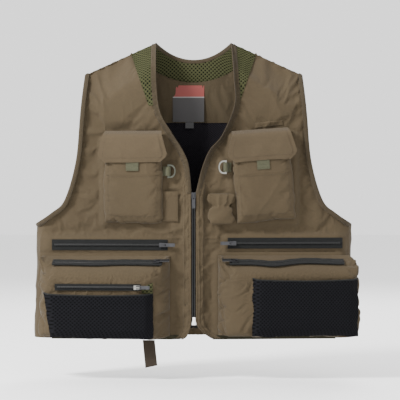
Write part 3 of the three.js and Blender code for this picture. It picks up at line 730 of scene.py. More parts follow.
def front_shell(side):
    sign = SIDES[side]
    rows, columns = 190, 100
    z = np.linspace(HEM_Z, NECK_Z - 0.5 * MM, rows)[:, None]
    lo, hi = inner_x(side, z), outer_x(z)
    x = sign * (lo + (hi - lo) * np.linspace(0, 1, columns)[None, :])
    z = np.broadcast_to(z, x.shape)
    w = front_wrinkles(side, x, z) * smooth(0, 1 * MM, np.abs(x) - lo)
    still = quiet(side, x, z)
    free = still * smooth(0, 10 * MM, np.abs(x) - lo) * smooth(0, 6 * MM, hi - np.abs(x)) * smooth(0, 12 * MM, z - HEM_Z)
    held = 1 - 0.985 * free * smooth(0, 0.03, NECK_Z - z)
    reach = (-6 * MM, 1.0 * MM)
    settled = drape(front_point(x, z, w), (0, -1, 0), held, 0.035, reach, frames=14, seed=3)
    LIFT[side] = SEAM_Y - depth_at(x, z, FRONT_DEPTH) - settled[..., 1]
    piece = cloth_sheet(f"front_cloth_{side}", settled, CLOTH, SHELL, (0, 1, 0))
    return fold(piece, side, "shell_fabric", f"front_panel_{side}", f"shoulder_panel_{side}")


def gore(side):
    sign = SIDES[side]
    rows, columns = 90, 46
    tuck = 0.12             # the gore runs on a little under the back's edge
    angle = np.linspace(-math.pi / 2, math.pi / 2 + tuck, columns)[None, :]
    t = np.linspace(0, 1, rows)[:, None]
    reach = mix(HEM_X, UNDERARM_X, t) - SIDE_X
    x = SIDE_X + np.cos(angle) * reach
    z = mix(HEM_Z, armhole_z(np.minimum(x, UNDERARM_X)), t)
    full = np.where(angle < 0, depth_at(SIDE_X, HEM_Z, FRONT_DEPTH), depth_at(SIDE_X, HEM_Z, BACK_DEPTH))
    seam = np.exp(-(angle / 0.10) ** 2)
    fold_in = 2.2 * MM * (crumple(angle * 0.05 + 0 * z, z, 0.04, 21 + sign) - 0.8)
    fold_in = fold_in * smooth(0, 0.8, np.cos(angle))
    rim_x = sign * SIDE_X + 0 * z
    front_rim = SEAM_Y - depth_at(SIDE_X, z, FRONT_DEPTH) - front_surface(side, rim_x, z, 0)[..., 1]
    back_rim = back_surface(rim_x, z, 0)[..., 1] - SEAM_Y - depth_at(SIDE_X, z, BACK_DEPTH)
    edge_w = np.where(angle < 0, front_rim, back_rim)
    under = 0.3 * MM * smooth(math.pi / 2 - 0.06, math.pi / 2 + 0.04, angle)
    grow = fold_in + edge_w * np.sin(angle) ** 2 + 0.8 * MM * seam - under
    def ring(inset):
        px = SIDE_X + np.cos(angle) * (reach + grow - inset)
        py = SEAM_Y + np.sin(angle) * (full + grow - inset)
        return np.stack([sign * px, py, z], -1)
    piece = sheet(f"side_cloth_{side}", ring(0), ring(CLOTH), SHELL)
    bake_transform(piece)
    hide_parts(f"side_gore_{side}")


def back_wrinkles(x, z):
    broad = 4.5 * MM * (value_noise(x / 0.13, z / 0.22, 31) - 0.6)
    folds = 2.4 * MM * (crumple(x, z * 0.7, 0.09, 33) - 0.9)
    fine = 0.6 * MM * (crumple(x, z, 0.025, 35) - 0.8)
    calm_top = smooth(0, 0.04, top_z(x) - z)
    hem = 0.7 * MM * smooth(HEM_Z + 0.019, HEM_Z + 0.016, z)
    yoke = 1.8 * MM * smooth(-0.153, -0.1505, z) * smooth(-0.06, -0.12, z)
    return (broad + folds + fine) * calm_top + hem + yoke


BACK_SPREAD = 1.15          # rows of the back's grid crowd towards its top


def back_top(x):
    return np.where(np.abs(x) < COLLAR_X, collar_z(x) + 3 * MM, top_z(x))


def back_surface(x, z, h):
    """A point h outside the finished cloth of the back."""
    x, z, h = np.broadcast_arrays(np.asarray(x, float), z, h)
    t = np.clip((z - HEM_Z) / (back_top(x) - HEM_Z), 0, 1)
    lift = sample(LIFT["back"], 1 - (1 - t) ** (1 / BACK_SPREAD), (x + SIDE_X) / (2 * SIDE_X))
    return back_point(x, z, h + lift)


def back_shell():
    rows, columns = 150, 170
    x = np.linspace(-SIDE_X, SIDE_X, columns)[None, :]
    row = np.linspace(0, 1, rows)[:, None]
    z = mix(HEM_Z, back_top(x), 1 - (1 - row) ** BACK_SPREAD)
    x = np.broadcast_to(x, z.shape)
    w = back_wrinkles(x, z)
    edge = smooth(0, 10 * MM, SIDE_X - np.abs(x)) * smooth(0, 14 * MM, z - HEM_Z) * smooth(0, 0.035, back_top(x) - z)
    under_arm = (ARMHOLE[1, 0] + ARMHOLE[3, 0]) / 2
    edge = edge * smooth(6 * MM, 30 * MM, np.abs(np.abs(x) - under_arm))    # the grid is too slanted to settle there
    settled = drape(back_point(x, z, w), (0, 1, 0), 1 - 0.99 * edge, 0.035, (-7 * MM, 1.5 * MM), frames=14, seed=9)
    LIFT["back"] = settled[..., 1] - SEAM_Y - depth_at(x, z, BACK_DEPTH)
    piece = cloth_sheet("back_cloth", settled, CLOTH, SHELL, (0, -1, 0))
    ride(piece, "root", "shell_fabric", "back_panel")


def back_seams():
    """Stitching along the back's yoke, hem, armholes and side seams."""
    wide = np.linspace(-1, 1, 200)
    edge = spline(ARMHOLE, 80)[4:-26]
    rows = {
        "yoke": np.stack([wide * 204 * MM, -146 * MM + 0 * wide], 1),
        "yoke_low": np.stack([wide * 206 * MM, -156 * MM + 0 * wide], 1),
        "hem": np.stack([wide * (SIDE_X - 3 * MM), HEM_Z + 17 * MM + 0 * wide], 1),
        "collar": np.stack([wide * 110 * MM, collar_z(wide * 110 * MM) - 6 * MM], 1),
    }
    for side, sign in SIDES.items():
        rows[f"armhole_{side}"] = np.stack([sign * (edge[:, 0] - 10 * MM), edge[:, 1] - 3 * MM], 1)
        rows[f"side_{side}"] = np.stack([0 * wide + sign * (SIDE_X - 6 * MM), mix(HEM_Z, -300 * MM, wide / 2 + 0.5)], 1)
    for part, line in rows.items():
        row = stitches(f"back_stitching_{part}", back_surface(line[:, 0], line[:, 1], 0.25 * MM), (0, 1, 0))
        ride(row, "root", "shell_fabric")


back_shell()
back_seams()
for side_name in SIDES:
    front_shell(side_name)
    gore(side_name)


# ---------------------------------------------------------------- collar, linings and label
def collar():
    rows, columns = 26, 120
    reach = COLLAR_X - 2 * MM
    x = np.linspace(-reach, reach, columns)[None, :]
    t = np.linspace(0, 1, rows)[:, None]
    z = mix(collar_z(x) - 1 * MM, top_z(x) - 0.5 * MM, t)
    x = np.broadcast_to(x, z.shape)
    puff = 1.4 * MM * (4 * t * (1 - t)) ** 0.6 + 0.3 * MM * value_noise(x / 0.03, z / 0.03, 41)
    outer = back_point(x, z, 0.3 * MM + puff)
    inner = back_point(x, z, -2.8 * MM - puff)
    piece = sheet("collar_padding", outer, inner, COLLAR_NET)
    ride(piece, "root", "green_mesh", "collar_mesh")


def neck_trim():
    """Folded tape over the collar's top edge, from shoulder seam to shoulder seam."""
    x = np.linspace(-NECK_X, NECK_X, 90)
    z = top_z(x)
    slope = np.gradient(z, x)
    rings = []
    profile = [(-5.5, 2.0), (-1, 2.4), (1.2, 1.2), (1.8, -1), (1.2, -3.2), (-1, -4.6), (-5.5, -4.2), (-5.6, -1)]
    for d, h in profile:
        length = np.sqrt(1 + slope ** 2)
        px, pz = x - slope / length * d * MM, z + d * MM / length
        rings.append(back_point(px, pz, h * MM))
    piece = tube("collar_tape", np.stack(rings, 1), BINDING)
    ride(piece, "root", "binding", "neck_binding")


def inside_sheet(name, half, low, high, height, material, slot, node, lumps=0.5 * MM):
    rows, columns = 50, 90
    x = np.linspace(-half, half, columns)[None, :]
    t = np.linspace(0, 1, rows)[:, None]
    z = mix(low(x), high(x), t)
    x = np.broadcast_to(x, z.shape)
    w = height + lumps * (crumple(x, z, 0.05, 51) - 0.5)
    piece = sheet(name, back_surface(x, z, w), back_surface(x, z, w - 0.8 * MM), material)
    ride(piece, "root", slot, node)


def label():
    low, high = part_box("neck_label")
    rows, columns = 30, 26
    x = np.linspace(low.x, high.x, columns)[None, :]
    z = np.linspace(low.z, high.z, rows)[:, None]
    x, z = np.broadcast_arrays(x, z)
    bow = 0.8 * MM * np.cos((x - (low.x + high.x) / 2) * 60) + 0.3 * MM * value_noise(x / 0.02, z / 0.02, 3)
    y = low.y + 0.4 * MM - bow * 0.5
    piece = sheet("neck_label_cloth", np.stack([x, y, z], -1), np.stack([x, y + 0.7 * MM, z], -1),
                  label_material("label_weave", low.z, high.z))
    ride(piece, "root", "label", "neck_label")
    low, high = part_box("size_tab")
    x = np.linspace(low.x, high.x, 8)[None, :]
    z = np.linspace(low.z, high.z, 8)[:, None]
    x, z = np.broadcast_arrays(x, z)
    y = low.y + 0.4 * MM - 1.5 * MM * ((high.z - z) / (high.z - low.z)) ** 2
    piece = sheet("size_tab_cloth", np.stack([x, y, z], -1), np.stack([x, y + 0.5 * MM, z], -1), TAB)
    ride(piece, "root", "label_tab", "size_tab")


collar()
neck_trim()
yoke_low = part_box("yoke_facing")[0].z
inside_sheet("yoke_facing_cloth", 118 * MM, lambda x: yoke_low + 0 * x,
             lambda x: np.minimum(collar_z(x) + 2 * MM, shoulder_z(x) - 12 * MM),
             -4.8 * MM, FACING, "facing", "yoke_facing")
inside_sheet("back_lining_net", 250 * MM, lambda x: HEM_Z + 14 * MM + 0 * x,
             lambda x: np.minimum(yoke_low + 3 * MM + 0 * x, top_z(x) - 30 * MM),
             -3.6 * MM, LINING, "black_mesh", "back_lining_mesh", 0.2 * MM)
label()


# ---------------------------------------------------------------- edges of the fronts
def shoulder_insert(side):
    """The mesh wedge beside the neck, let into the front."""
    sign = SIDES[side]
    tip = np.array([84, -91]) * MM
    rows, columns = 44, 22
    t = np.linspace(0, 1, rows)[:, None]
    start = neck_edge_x[side]
    z0 = mix(tip[1], NECK_Z - 1 * MM, t)
    inner = start(z0) + 4 * MM
    outer = mix(tip[0] + 0 * t, COLLAR_X, np.clip((z0 - tip[1]) / (shoulder_z(COLLAR_X) - tip[1]), 0, 1))
    outer = np.maximum(np.minimum(outer, outer_x(z0)), inner + 1 * MM)
    x = sign * mix(inner, outer, np.linspace(0, 1, columns)[None, :])
    z = np.broadcast_to(z0, x.shape)
    h = 1.0 * MM + 0.3 * MM * value_noise(x / 0.02, z / 0.03, 61)
    piece = sheet(f"shoulder_net_{side}", front_surface(side, x, z, h), front_surface(side, x, z, -0.4 * MM), GREEN)
    fold(piece, side, "green_mesh", f"shoulder_mesh_{side}")


def neck_edge(side):
    """Folded tape along the V of the neck down to the zip."""
    sign = SIDES[side]
    line = spline(NECK_EDGE[side], 120)
    tangent = np.gradient(line, axis=0)
    tangent /= np.linalg.norm(tangent, axis=1, keepdims=True)
    into = np.stack([-tangent[:, 1], tangent[:, 0]], 1)
    into *= np.sign(into[60, 0])
    profile = [(8.3, 2.0), (4, 2.5), (1, 2.3), (-0.5, 1.2), (-0.8, -0.3), (0, -1.8), (3, -2.6), (8, -2.2), (8.6, 0)]
    rings = []
    for d, h in profile:
        p = line + into * d * MM
        limit = outer_x(np.minimum(p[:, 1], NECK_Z - 0.3 * MM))
        px = np.minimum(p[:, 0], limit)
        pucker = 0.25 * MM * np.sin(np.arange(len(line)) * 1.3) if h > 0 else 0
        rings.append(front_surface(side, sign * px, np.minimum(p[:, 1], NECK_Z), h * MM + pucker))
    piece = tube(f"neck_edge_tape_{side}", np.stack(rings, 1), BINDING)
    fold(piece, side, "binding", f"neck_edge_binding_{side}")


def placket(side):
    """The doubled strip beside the zip, with its edge stitched down."""
    sign = SIDES[side]
    rows, columns = 170, 40
    z = np.linspace(HEM_Z + 0.5 * MM, ZIP_TOP + 40 * MM, rows)[:, None]
    lo = inner_x(side, z) + 0.3 * MM
    width = 15 * MM * smooth(ZIP_TOP + 44 * MM, ZIP_TOP + 5 * MM, z) + 1 * MM
    u = np.linspace(0, 1, columns)[None, :]
    x = sign * (lo + width * u)
    z = np.broadcast_to(z, x.shape)
    seed = 71 if side == "right" else 75
    pucker = 0.4 * MM * np.sin(z / (3.6 * MM) + 3 * value_noise(z / 0.03, x / 0.02, seed)) * u
    ridges = 0.35 * MM * np.cos(2 * math.pi * (2.6 * u + 0.25 * value_noise(z / 0.05, 3 * u, seed)))
    crush = 0.9 * MM * (crumple(x * 2.5, z, 0.03, seed + 2) - 0.6) * smooth(0.1, 0.5, u)
    edge = 1.9 * MM - 1.0 * MM * smooth(0.86, 1, u) - 0.6 * MM * smooth(0.1, 0, u)
    h = np.maximum(edge + pucker + ridges + crush, 0.3 * MM)
    piece = sheet(f"placket_{side}", front_surface(side, x, z, h), front_surface(side, x, z, -0.4 * MM), SHELL)
    fold(piece, side, "shell_fabric")


def seam_lines(side):
    """Rows of stitching and the small raised seams on a front."""
    sign = SIDES[side]
    outward = (0, -1, 0)
    rows = {
        "placket": [(sign * (inner_x(side, z) + 13.5 * MM), z) for z in np.linspace(HEM_Z + 3 * MM, ZIP_TOP, 120)],
        "hem": [(sign * x, HEM_Z + 17 * MM) for x in np.linspace(36 * MM, SIDE_X - 4 * MM, 90)],
        "chest": [(sign * x, -341 * MM) for x in np.linspace(17 * MM, 48 * MM, 14)],
        "neck": [(sign * (x + 10 * MM), z) for x, z in spline(NECK_EDGE[side], 90)[6:-8]],
        "neck_tape": [(sign * (x + 5.5 * MM), z) for x, z in spline(NECK_EDGE[side], 90)[3:-8]],
        "armhole": [(sign * (x - 10 * MM), z - 3 * MM) for x, z in spline(ARMHOLE, 80)[3:-26]],
    }
    for part, line in rows.items():
        line = np.array([(float(x), float(z)) for x, z in line])
        lift = {"placket": 1.8 * MM, "neck_tape": 2.5 * MM}.get(part, 0.25 * MM)
        row = stitches(f"{part}_stitching_{side}", front_surface(side, line[:, 0], line[:, 1], lift), outward)
        fold(row, side, "shell_fabric")
    u = np.linspace(-1, 1, 30)[None, :]
    v = np.linspace(0, 1, 9)[:, None]
    x = sign * (33 * MM + 16 * MM * u) + 0 * v
    z = -340 * MM + 6 * MM * v + 0 * u
    h = 0.9 * MM * np.sin(v * math.pi) ** 0.5 * (1 - u ** 8)
    piece = sheet(f"chest_seam_{side}", front_surface(side, x, z, h), front_surface(side, x, z, -0.4 * MM), SHELL)
    fold(piece, side, "shell_fabric")


def hem_tape(side):
    """Dark binding under the hem of a front."""
    sign = SIDES[side]
    x = sign * np.linspace(ZIP_GAP + CORNER_CUT[side] + 3 * MM, SIDE_X, 90)
    profile = [(7, 0.9), (1, 1.4), (-0.6, 0.6), (-0.8, -0.8), (-0.2, -2.2), (4, -2.6), (7, -1.2)]
    rings = np.stack([front_surface(side, x, HEM_Z + d * MM, h * MM) - np.array([0, 0, max(0, -d) * MM])
                      for d, h in profile], 1)
    fold(tube(f"hem_tape_{side}", rings, OLIVE), side, "binding")


def welt():
    """The flattened pocket welt above the left flap."""
    u = np.linspace(-1, 1, 40)[None, :]
    v = np.linspace(0, 1, 14)[:, None]
    x = 141.5 * MM + 26 * MM * u + 0 * v
    z = -131 * MM + 11 * MM * v + 3 * MM * u
    h = 1.5 * MM * np.minimum(1, 6 * np.minimum(v, 1 - v)) * np.minimum(1, 12 * (1 - np.abs(u))) + 0.2 * MM
    piece = sheet("chest_welt", front_surface("left", x, z, h), front_surface("left", x, z, -0.4 * MM), SHELL)
    fold(piece, "left", "shell_fabric")
    line = front_surface("left", x[3], z[3], h[3] + 0.2 * MM)
    fold(stitches("chest_welt_stitching", line[4:-4], (0, -1, 0)), "left", "shell_fabric")


def armhole_tape(side):
    """Binding folded over the whole edge of an armhole."""
    sign = SIDES[side]
    line = spline(ARMHOLE, 60)
    tangent = np.gradient(line, axis=0)
    tangent /= np.linalg.norm(tangent, axis=1, keepdims=True)
    into = np.stack([tangent[:, 1], 0 * line[:, 0], -tangent[:, 0]], 1)
    reach = np.clip((line[:, 0] - SIDE_X) / (UNDERARM_X - SIDE_X), 0, 1)
    def path(full, way):
        x = np.minimum(line[:, 0], SIDE_X)
        y = SEAM_Y + way * depth_at(x, line[:, 1], full) * np.sqrt(1 - reach ** 2)
        return np.stack([line[:, 0], y, line[:, 1]], 1)
    front, back = path(FRONT_DEPTH, -1)[:-1], path(BACK_DEPTH, 1)[:-1]
    out_front = np.tile([0.0, -1, 0], (len(front), 1))
    out_back = -out_front
    around = reach[:-1, None] ** 2
    out_front = out_front * (1 - around) + np.array([1.0, 0, 0]) * around
    out_back = out_back * (1 - around) + np.array([1.0, 0, 0]) * around
    tip, low = np.array([[SHOULDER_X, SEAM_Y, ARMHOLE[0, 1]]]), np.array([[UNDERARM_X, SEAM_Y, ARMHOLE[-1, 1]]])
    points = np.concatenate([front, low, back[::-1], tip])
    inwards = np.concatenate([into[:-1], into[-1:], into[:-1][::-1], into[:1]])
    inwards[-1] = [-0.93, 0, 0.37]
    outs = np.concatenate([out_front, [[1.0, 0, 0]], out_back[::-1], [[0.37, 0, 0.93]]])
    outs /= np.linalg.norm(outs, axis=1, keepdims=True)
    profile = [(6.5, 1.6), (3.5, 2.1), (0.5, 1.8), (-1.4, 0.4), (-1.6, -0.8), (-0.6, -2.4), (3, -3.2), (6.5, -2.8)]
    rings = np.stack([points + inwards * d * MM + outs * h * MM for d, h in profile], 1)
    rings[..., 0] *= sign
    piece = tube(f"armhole_tape_{side}", rings, BINDING, closed=True)
    ride(piece, "root", "binding", f"armhole_binding_{side}")


for side_name in SIDES:
    shoulder_insert(side_name)
    neck_edge(side_name)
    placket(side_name)
    seam_lines(side_name)
    hem_tape(side_name)
    armhole_tape(side_name)
welt()


# ---------------------------------------------------------------- pockets
def pocket_shape(base, face, height, rows, columns, square=12, open_top=False, seed=0, rumple=1.2 * MM, crown=2 * MM):
    """Local points of a puffed pocket that narrows from its base to its face. Edges are (x0, x1, z0, z1)."""
    u = np.sin(np.linspace(-1, 1, columns) * math.pi / 2)[None, :]
    low = -1.0
    v = np.linspace(low, 1, rows)[:, None]
    v = (v if open_top else np.sin(v * math.pi / 2)) + 0 * u
    if open_top:
        v = np.where(v < 0, np.sin(v * math.pi / 2), v)
    u = u + 0 * v
    closing = (1 - np.abs(u) ** square)
    ends = 1 - np.abs(v) ** square
    closing = closing * (np.where(v < 0, ends, 1) if open_top else ends)
    k = np.maximum(closing, 0) ** 0.36
    bx, bz = mix(base[0], base[1], (u + 1) / 2), mix(base[2], base[3], (v + 1) / 2)
    fx, fz = mix(face[0], face[1], (u + 1) / 2), mix(face[2], face[3], (v + 1) / 2)
    x, z = mix(bx, fx, k), mix(bz, fz, k)
    wall = 4 * k * (1 - k)
    puff = crown * (1 - u ** 4) * (1 - v ** 4 * (0 if open_top else 1)) - crown
    calm = 1 - 0.9 * smooth(0.5, 0.8, v) * (1 - smooth(0.9, 0.97, np.abs(u)))
    h = height * k + puff * k + rumple * (crumple(x, z, 0.045, seed) - 0.8) * k * calm
    crush = 2.8 * rumple * (crumple(z + 0.3 * h, h + x, 0.02, seed + 4) - 0.8) * wall
    x = x - np.sign(u) * crush * smooth(0.6, 0.95, np.abs(u))
    z = z - np.sign(v) * crush * smooth(0.6, 0.95, np.abs(v)) * calm
    return x, h, z


def tilted(x, z, tilt, about):
    c, s = math.cos(tilt), math.sin(tilt)
    dx, dz = x - about[0], z - about[1]
    return about[0] + dx * c - dz * s, about[1] + dx * s + dz * c


CHEST_TILT = {"right": 0.0, "left": math.radians(4.3)}


def chest_pocket(side):
    tilt = CHEST_TILT[side]
    seed = 101 if side == "right" else 131
    low, high = plane_box(side, f"chest_pouch_{side}", tilt)
    flap_low, flap_high = plane_box(side, f"chest_flap_{side}", tilt)
    middle = (low[0] + high[0]) / 2
    place = lambda x, h, z: on_plane(side, *[q[i] for q, i in ()]) if False else on_plane(
        side, tilted(x, z, tilt, (0, 0))[0], h, tilted(x, z, tilt, (0, 0))[1])

    base = (low[0], high[0], low[2], high[2] + 4 * MM)
    face = (low[0] + 1.5 * MM, high[0] - 1.5 * MM, low[2] + 2 * MM, high[2] + 4 * MM)
    x, h, z = pocket_shape(base, face, high[1], 80, 80, open_top=True, seed=seed, rumple=1.4 * MM)
    band = 0.9 * MM * smooth(high[2] - 66 * MM, high[2] - 64 * MM, z)
    outer = place(x, h + band, z)
    inside = smooth(0, 0.012, np.minimum(x - low[0], high[0] - x)) * smooth(0, 0.012, z - low[2])
    outer = drape(outer, (0, -1, 0), 1 - 0.97 * inside * smooth(0, 0.02, high[2] - z), 0.03,
                  (-1.6 * MM, 1.4 * MM), frames=12, pressure=1.0, seed=seed)
    inner = place(middle + (x - middle) * 0.975, np.maximum(h - 1.2 * MM, 0.2 * MM), z + 0.8 * MM * smooth(low[2] + 0.02, low[2], z))
    piece = sheet(f"chest_pocket_{side}", outer, inner, SHELL)
    ride(piece, f"front_{side}", "shell_fabric", f"chest_pouch_{side}")
    out = on_plane(side, 0, 1, 0) - on_plane(side, 0, 0, 0)
    band_row = int(np.argmin(np.abs(z[:, 40] - (high[2] - 68 * MM))))
    for part, line in (("foot", outer[13, 13:-13]), ("inner", outer[13:, 13]), ("outer", outer[13:, -14]),
                       ("band", outer[band_row, 13:-13])):
        row = stitches(f"pouch_stitching_{part}_{side}", line + out * 0.2 * MM, out)
        ride(row, f"front_{side}", "shell_fabric")

    # flap: runs out from its seam over the pouch and hangs down over it
    drop = flap_high[2] - flap_low[2]
    path = spline([(1.0, 1.2), (-2, 10), (-7, 19), (-16, 22), (-36, 22.6), (-58, 21.4)], 46) * MM
    width = np.interp(-path[:, 0], np.array([-2, 43, 49, 59]) * MM, np.array([52.5, 65, 62.5, 51]) * MM)
    u = np.linspace(-1, 1, 60)[None, :]
    x = middle + u * width[:, None]
    z = flap_high[2] - 1 * MM + path[:, 0][:, None] + 0 * u
    along = (-path[:, 0] / drop)[:, None]
    edge = smooth(0.97, 0.86, np.abs(u)) * smooth(1.0, 0.9, along)
    stitch = -0.5 * MM * np.exp(-((np.abs(u) - 0.9) / 0.02) ** 2)
    sag = -2.0 * MM * np.abs(u) ** 3 * smooth(0.2, 1, along)
    h = path[:, 1][:, None] + sag + stitch + 0.5 * MM * edge
    h = h + 1.3 * MM * (crumple(x, z, 0.04, seed + 7) - 0.8) * smooth(0.15, 0.5, along)
    z = z - 1.5 * MM * value_noise(u * 2, 0 * u, seed) * smooth(0.6, 1, along)
    outer = place(x, h, z)
    # The flap wears the lighter flap cloth, which is painted light.
    piece = cloth_sheet(f"chest_flap_cloth_{side}", outer, 2.0 * MM, FLAP_PAINTED_LIGHT, (0, 1, 0))
    ride(piece, f"flap_{side}", "shell_fabric", f"chest_flap_{side}")
    edge_line = np.concatenate([outer[8:-5, 4], outer[-5, 4:-4], outer[-6:8:-1, -5]])
    row = stitches(f"flap_stitching_{side}", edge_line + out * 0.15 * MM, out)
    ride(row, f"flap_{side}", "shell_fabric")

    tab_low, tab_high = plane_box(side, f"flap_tab_{side}", tilt)
    u = np.linspace(-1, 1, 14)[None, :]
    v = np.linspace(0, 1, 22)[:, None]
    x = (tab_low[0] + tab_high[0]) / 2 + u * (tab_high[0] - tab_low[0]) / 2 * (1 - 0.04 * v)
    z = mix(tab_high[2], tab_low[2], v) + 0 * u
    h = tab_low[1] + 1.2 * MM - 0.6 * MM * v ** 2 + 0.8 * MM * smooth(0.75, 0.78, v)
    h = h + 0 * u
    piece = sheet(f"flap_tab_webbing_{side}", place(x, h, z), place(x, h - 1.3 * MM - 0.8 * MM * smooth(0.75, 0.78, v), z), WEBBING)
    ride(piece, f"flap_{side}", "webbing", f"flap_tab_{side}")
    return place


for side_name in SIDES:
    chest_pocket(side_name)
    for node_name, body in ((f"flap_hook_tape_{side_name}", f"flap_{side_name}"),
                            (f"flap_loop_tape_{side_name}", f"front_{side_name}")):
        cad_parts[node_name].data.materials.clear()
        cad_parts[node_name].data.materials.append(PILE)


HEM_SHOWS = 4 * MM          # hem left in sight under the cargo pockets


def cargo_pocket(side):
    seed = 151 if side == "right" else 171
    low, high = plane_box(side, f"cargo_pocket_{side}")
    foot = low[2] + HEM_SHOWS
    base, face = {
        "right": ((low[0], -44 * MM, foot, high[2]), (-280 * MM, -70 * MM, foot, -397 * MM)),
        "left": ((46 * MM, 292 * MM, foot, high[2]), (62 * MM, 312 * MM, foot, -396 * MM)),
    }[side]
    x, h, z = pocket_shape(base, face, high[1], 110, 130, square=16, seed=seed, rumple=2.4 * MM, crown=2.5 * MM)
    h = np.maximum(h, 0.3 * MM)
    outer = on_plane(side, x, h, np.maximum(z, foot))
    slope = smooth(high[2] - 45 * MM, high[2] - 25 * MM, z) * smooth(0.02, 0.04, np.minimum(x - low[0], high[0] - x))
    free = smooth(0.2, 0.5, h / high[1]) * (1 - 0.7 * smooth(0.9, 1.0, h / high[1])) * (1 - slope)
    outer = drape(outer, (0, -1, 0), 1 - 0.97 * free, 0.06, (-4 * MM, 0.8 * MM), frames=14, pressure=0.6, seed=seed)
    cx, cz = (base[0] + base[1]) / 2, (base[2] + base[3]) / 2
    inner = on_plane(side, cx + (x - cx) * 0.985, np.maximum(h - 1.6 * MM, 0.1 * MM), cz + (z - cz) * 0.975)
    piece = sheet(f"cargo_pocket_cloth_{side}", outer, inner, SHELL)
    ride(piece, f"front_{side}", "shell_fabric", f"cargo_pocket_{side}")
    out = on_plane(side, 0, 1, 0) - on_plane(side, 0, 0, 0)
    for part, line in (("foot", outer[6, 6:-6]), ("inner", outer[6:-10, -7 if side == "right" else 6]),
                       ("outer", outer[6:-10, 6 if side == "right" else -7])):
        row = stitches(f"cargo_stitching_{part}_{side}", line + out * 0.2 * MM, out)
        ride(row, f"front_{side}", "shell_fabric")


def mesh_pocket(side):
    low, high = plane_box(side, f"mesh_pocket_{side}")
    seed = 191 if side == "right" else 197
    base = (low[0], high[0], low[2], high[2])
    x, h, z = pocket_shape(base, base, high[1] - low[1] - 1 * MM, 80, 110, square=9, open_top=True, seed=seed,
                           rumple=0.9 * MM, crown=2.5 * MM)
    border = np.minimum(np.minimum(x - low[0], high[0] - x), z - low[2])
    h = h - 5 * MM * (1 - smooth(0, 15 * MM, border))
    h = low[1] + h
    mid = (low[0] + high[0]) / 2
    slant = 12 * MM * (high[2] - z) / (high[2] - low[2]) if side == "right" else 0 * z
    x = x + slant * smooth(mid, low[0], x)
    sag = 2.5 * MM * smooth(high[2] - 0.03, high[2], z) * (1 - ((x - mid) / (high[0] - mid)) ** 2)
    outer = on_plane(side, x, h + 0.4 * sag, z - sag)
    inner = on_plane(side, mid + (x - mid) * 0.985, h - 1.0 * MM + 0.4 * sag, z - sag)
    piece = sheet(f"mesh_pocket_net_{side}", outer, inner, BLACK)
    ride(piece, f"front_{side}", "black_mesh", f"mesh_pocket_{side}")
    rim = outer[-1]
    angles = np.linspace(0, 2 * math.pi, 8, endpoint=False)
    into, up = on_plane(side, 0, 1, 0) - on_plane(side, 0, 0, 0), np.array([0, 0, 1.0])
    rings = [p + into * 1.2 * MM * (math.cos(a) - 0.3) + up * 1.4 * MM * (math.sin(a) - 0.6) for a in angles for p in [rim]]
    piece = tube(f"mesh_pocket_rim_{side}", np.stack(rings, 1)[2:-2], TAPE)
    ride(piece, f"front_{side}", "black_mesh")


for side_name in SIDES:
    cargo_pocket(side_name)
    mesh_pocket(side_name)


# ---------------------------------------------------------------- zips
def teeth(name, count, pitch, half, low, height, place, body):
    """A row of coil turns: small rounded ribs side by side, along local x."""
    points, faces = [], []
    profile = [(-1, 0), (-0.9, 0.7), (-0.5, 1), (0.5, 1), (0.9, 0.7), (1, 0)]
    for k in range(count):
        x = (k - (count - 1) / 2) * pitch
        start = len(points)
        for side_x in (-0.42, 0.42):
            for v, w in profile:
                shrink = 0.75 if w > 0.8 else 1
                points.append((x + side_x * pitch * shrink, low + w * height, v * half))
        size = len(profile)
        for i in range(size):
            j = (i + 1) % size
            faces.append([start + i, start + j, start + size + j, start + size + i])
        faces += [[start + i for i in range(size)][::-1], [start + size + i for i in range(size)]]
    points = np.array(points)
    world = place(points[:, 0], points[:, 1], points[:, 2])
    piece = new_object(name, world, faces, COIL, sharp=30)
    quads = [face for face in faces if len(face) == 4]
    if outward_volume(world, quads) < 0:
        piece.data.flip_normals()
    return ride(piece, body, "zip_tape")


def zip_strip(side, name, height, lean=0.0, wavy=0.0, droop=0.0):
    """Tape and closed coil of a pocket zip, along local x."""
    node = f"{name}_zip"
    low, high = plane_box(side, node)
    length = high[0] - low[0]
    centre = (low + high) / 2
    lift = 0.0
    if lean:
        lift = 1.2 * MM
        rise = CARGO_LEAN[side]
        centre = np.array([centre[0], rise[0], rise[1]])
    else:
        centre[1] = low[1] - 0.5 * MM
    c, s = math.cos(lean), math.sin(lean)

    def place(x, h, v):
        wave = wavy * np.sin(x / 0.021) * 0.6 + wavy * value_noise(x / 0.04, 0 * x, 5)
        hh = h + wave
        v = v + droop * (np.exp(-((x - 0.04) / 0.035) ** 2) - 1.6 * np.exp(-((x + 0.025) / 0.028) ** 2))
        return on_plane(side, centre[0] + x, centre[1] + hh * c - v * s, centre[2] + v * c + hh * s)

    u = np.linspace(-length / 2, length / 2, 110)[None, :]
    v = np.linspace(-height / 2, height / 2, 13)[:, None]
    x, v = np.broadcast_arrays(u, v)
    pucker = 0.25 * MM * np.sin(x / 0.004) * smooth(0.3, 1, np.abs(v) / (height / 2))
    top = lift + 1.3 * MM + pucker + 0.5 * MM * smooth(0.35, 0.2, np.abs(v) / (height / 2))
    piece = sheet(f"{name}_tape", place(x, top, v), place(x, top * 0 + 0.2 * MM, v), TAPE)
    ride(piece, f"front_{side}", "zip_tape", node)
    pitch = 1.7 * MM
    teeth(f"{name}_coil", int((length - 8 * MM) / pitch), pitch, 2.2 * MM, 1.2 * MM, 2.0 * MM, place, f"front_{side}")


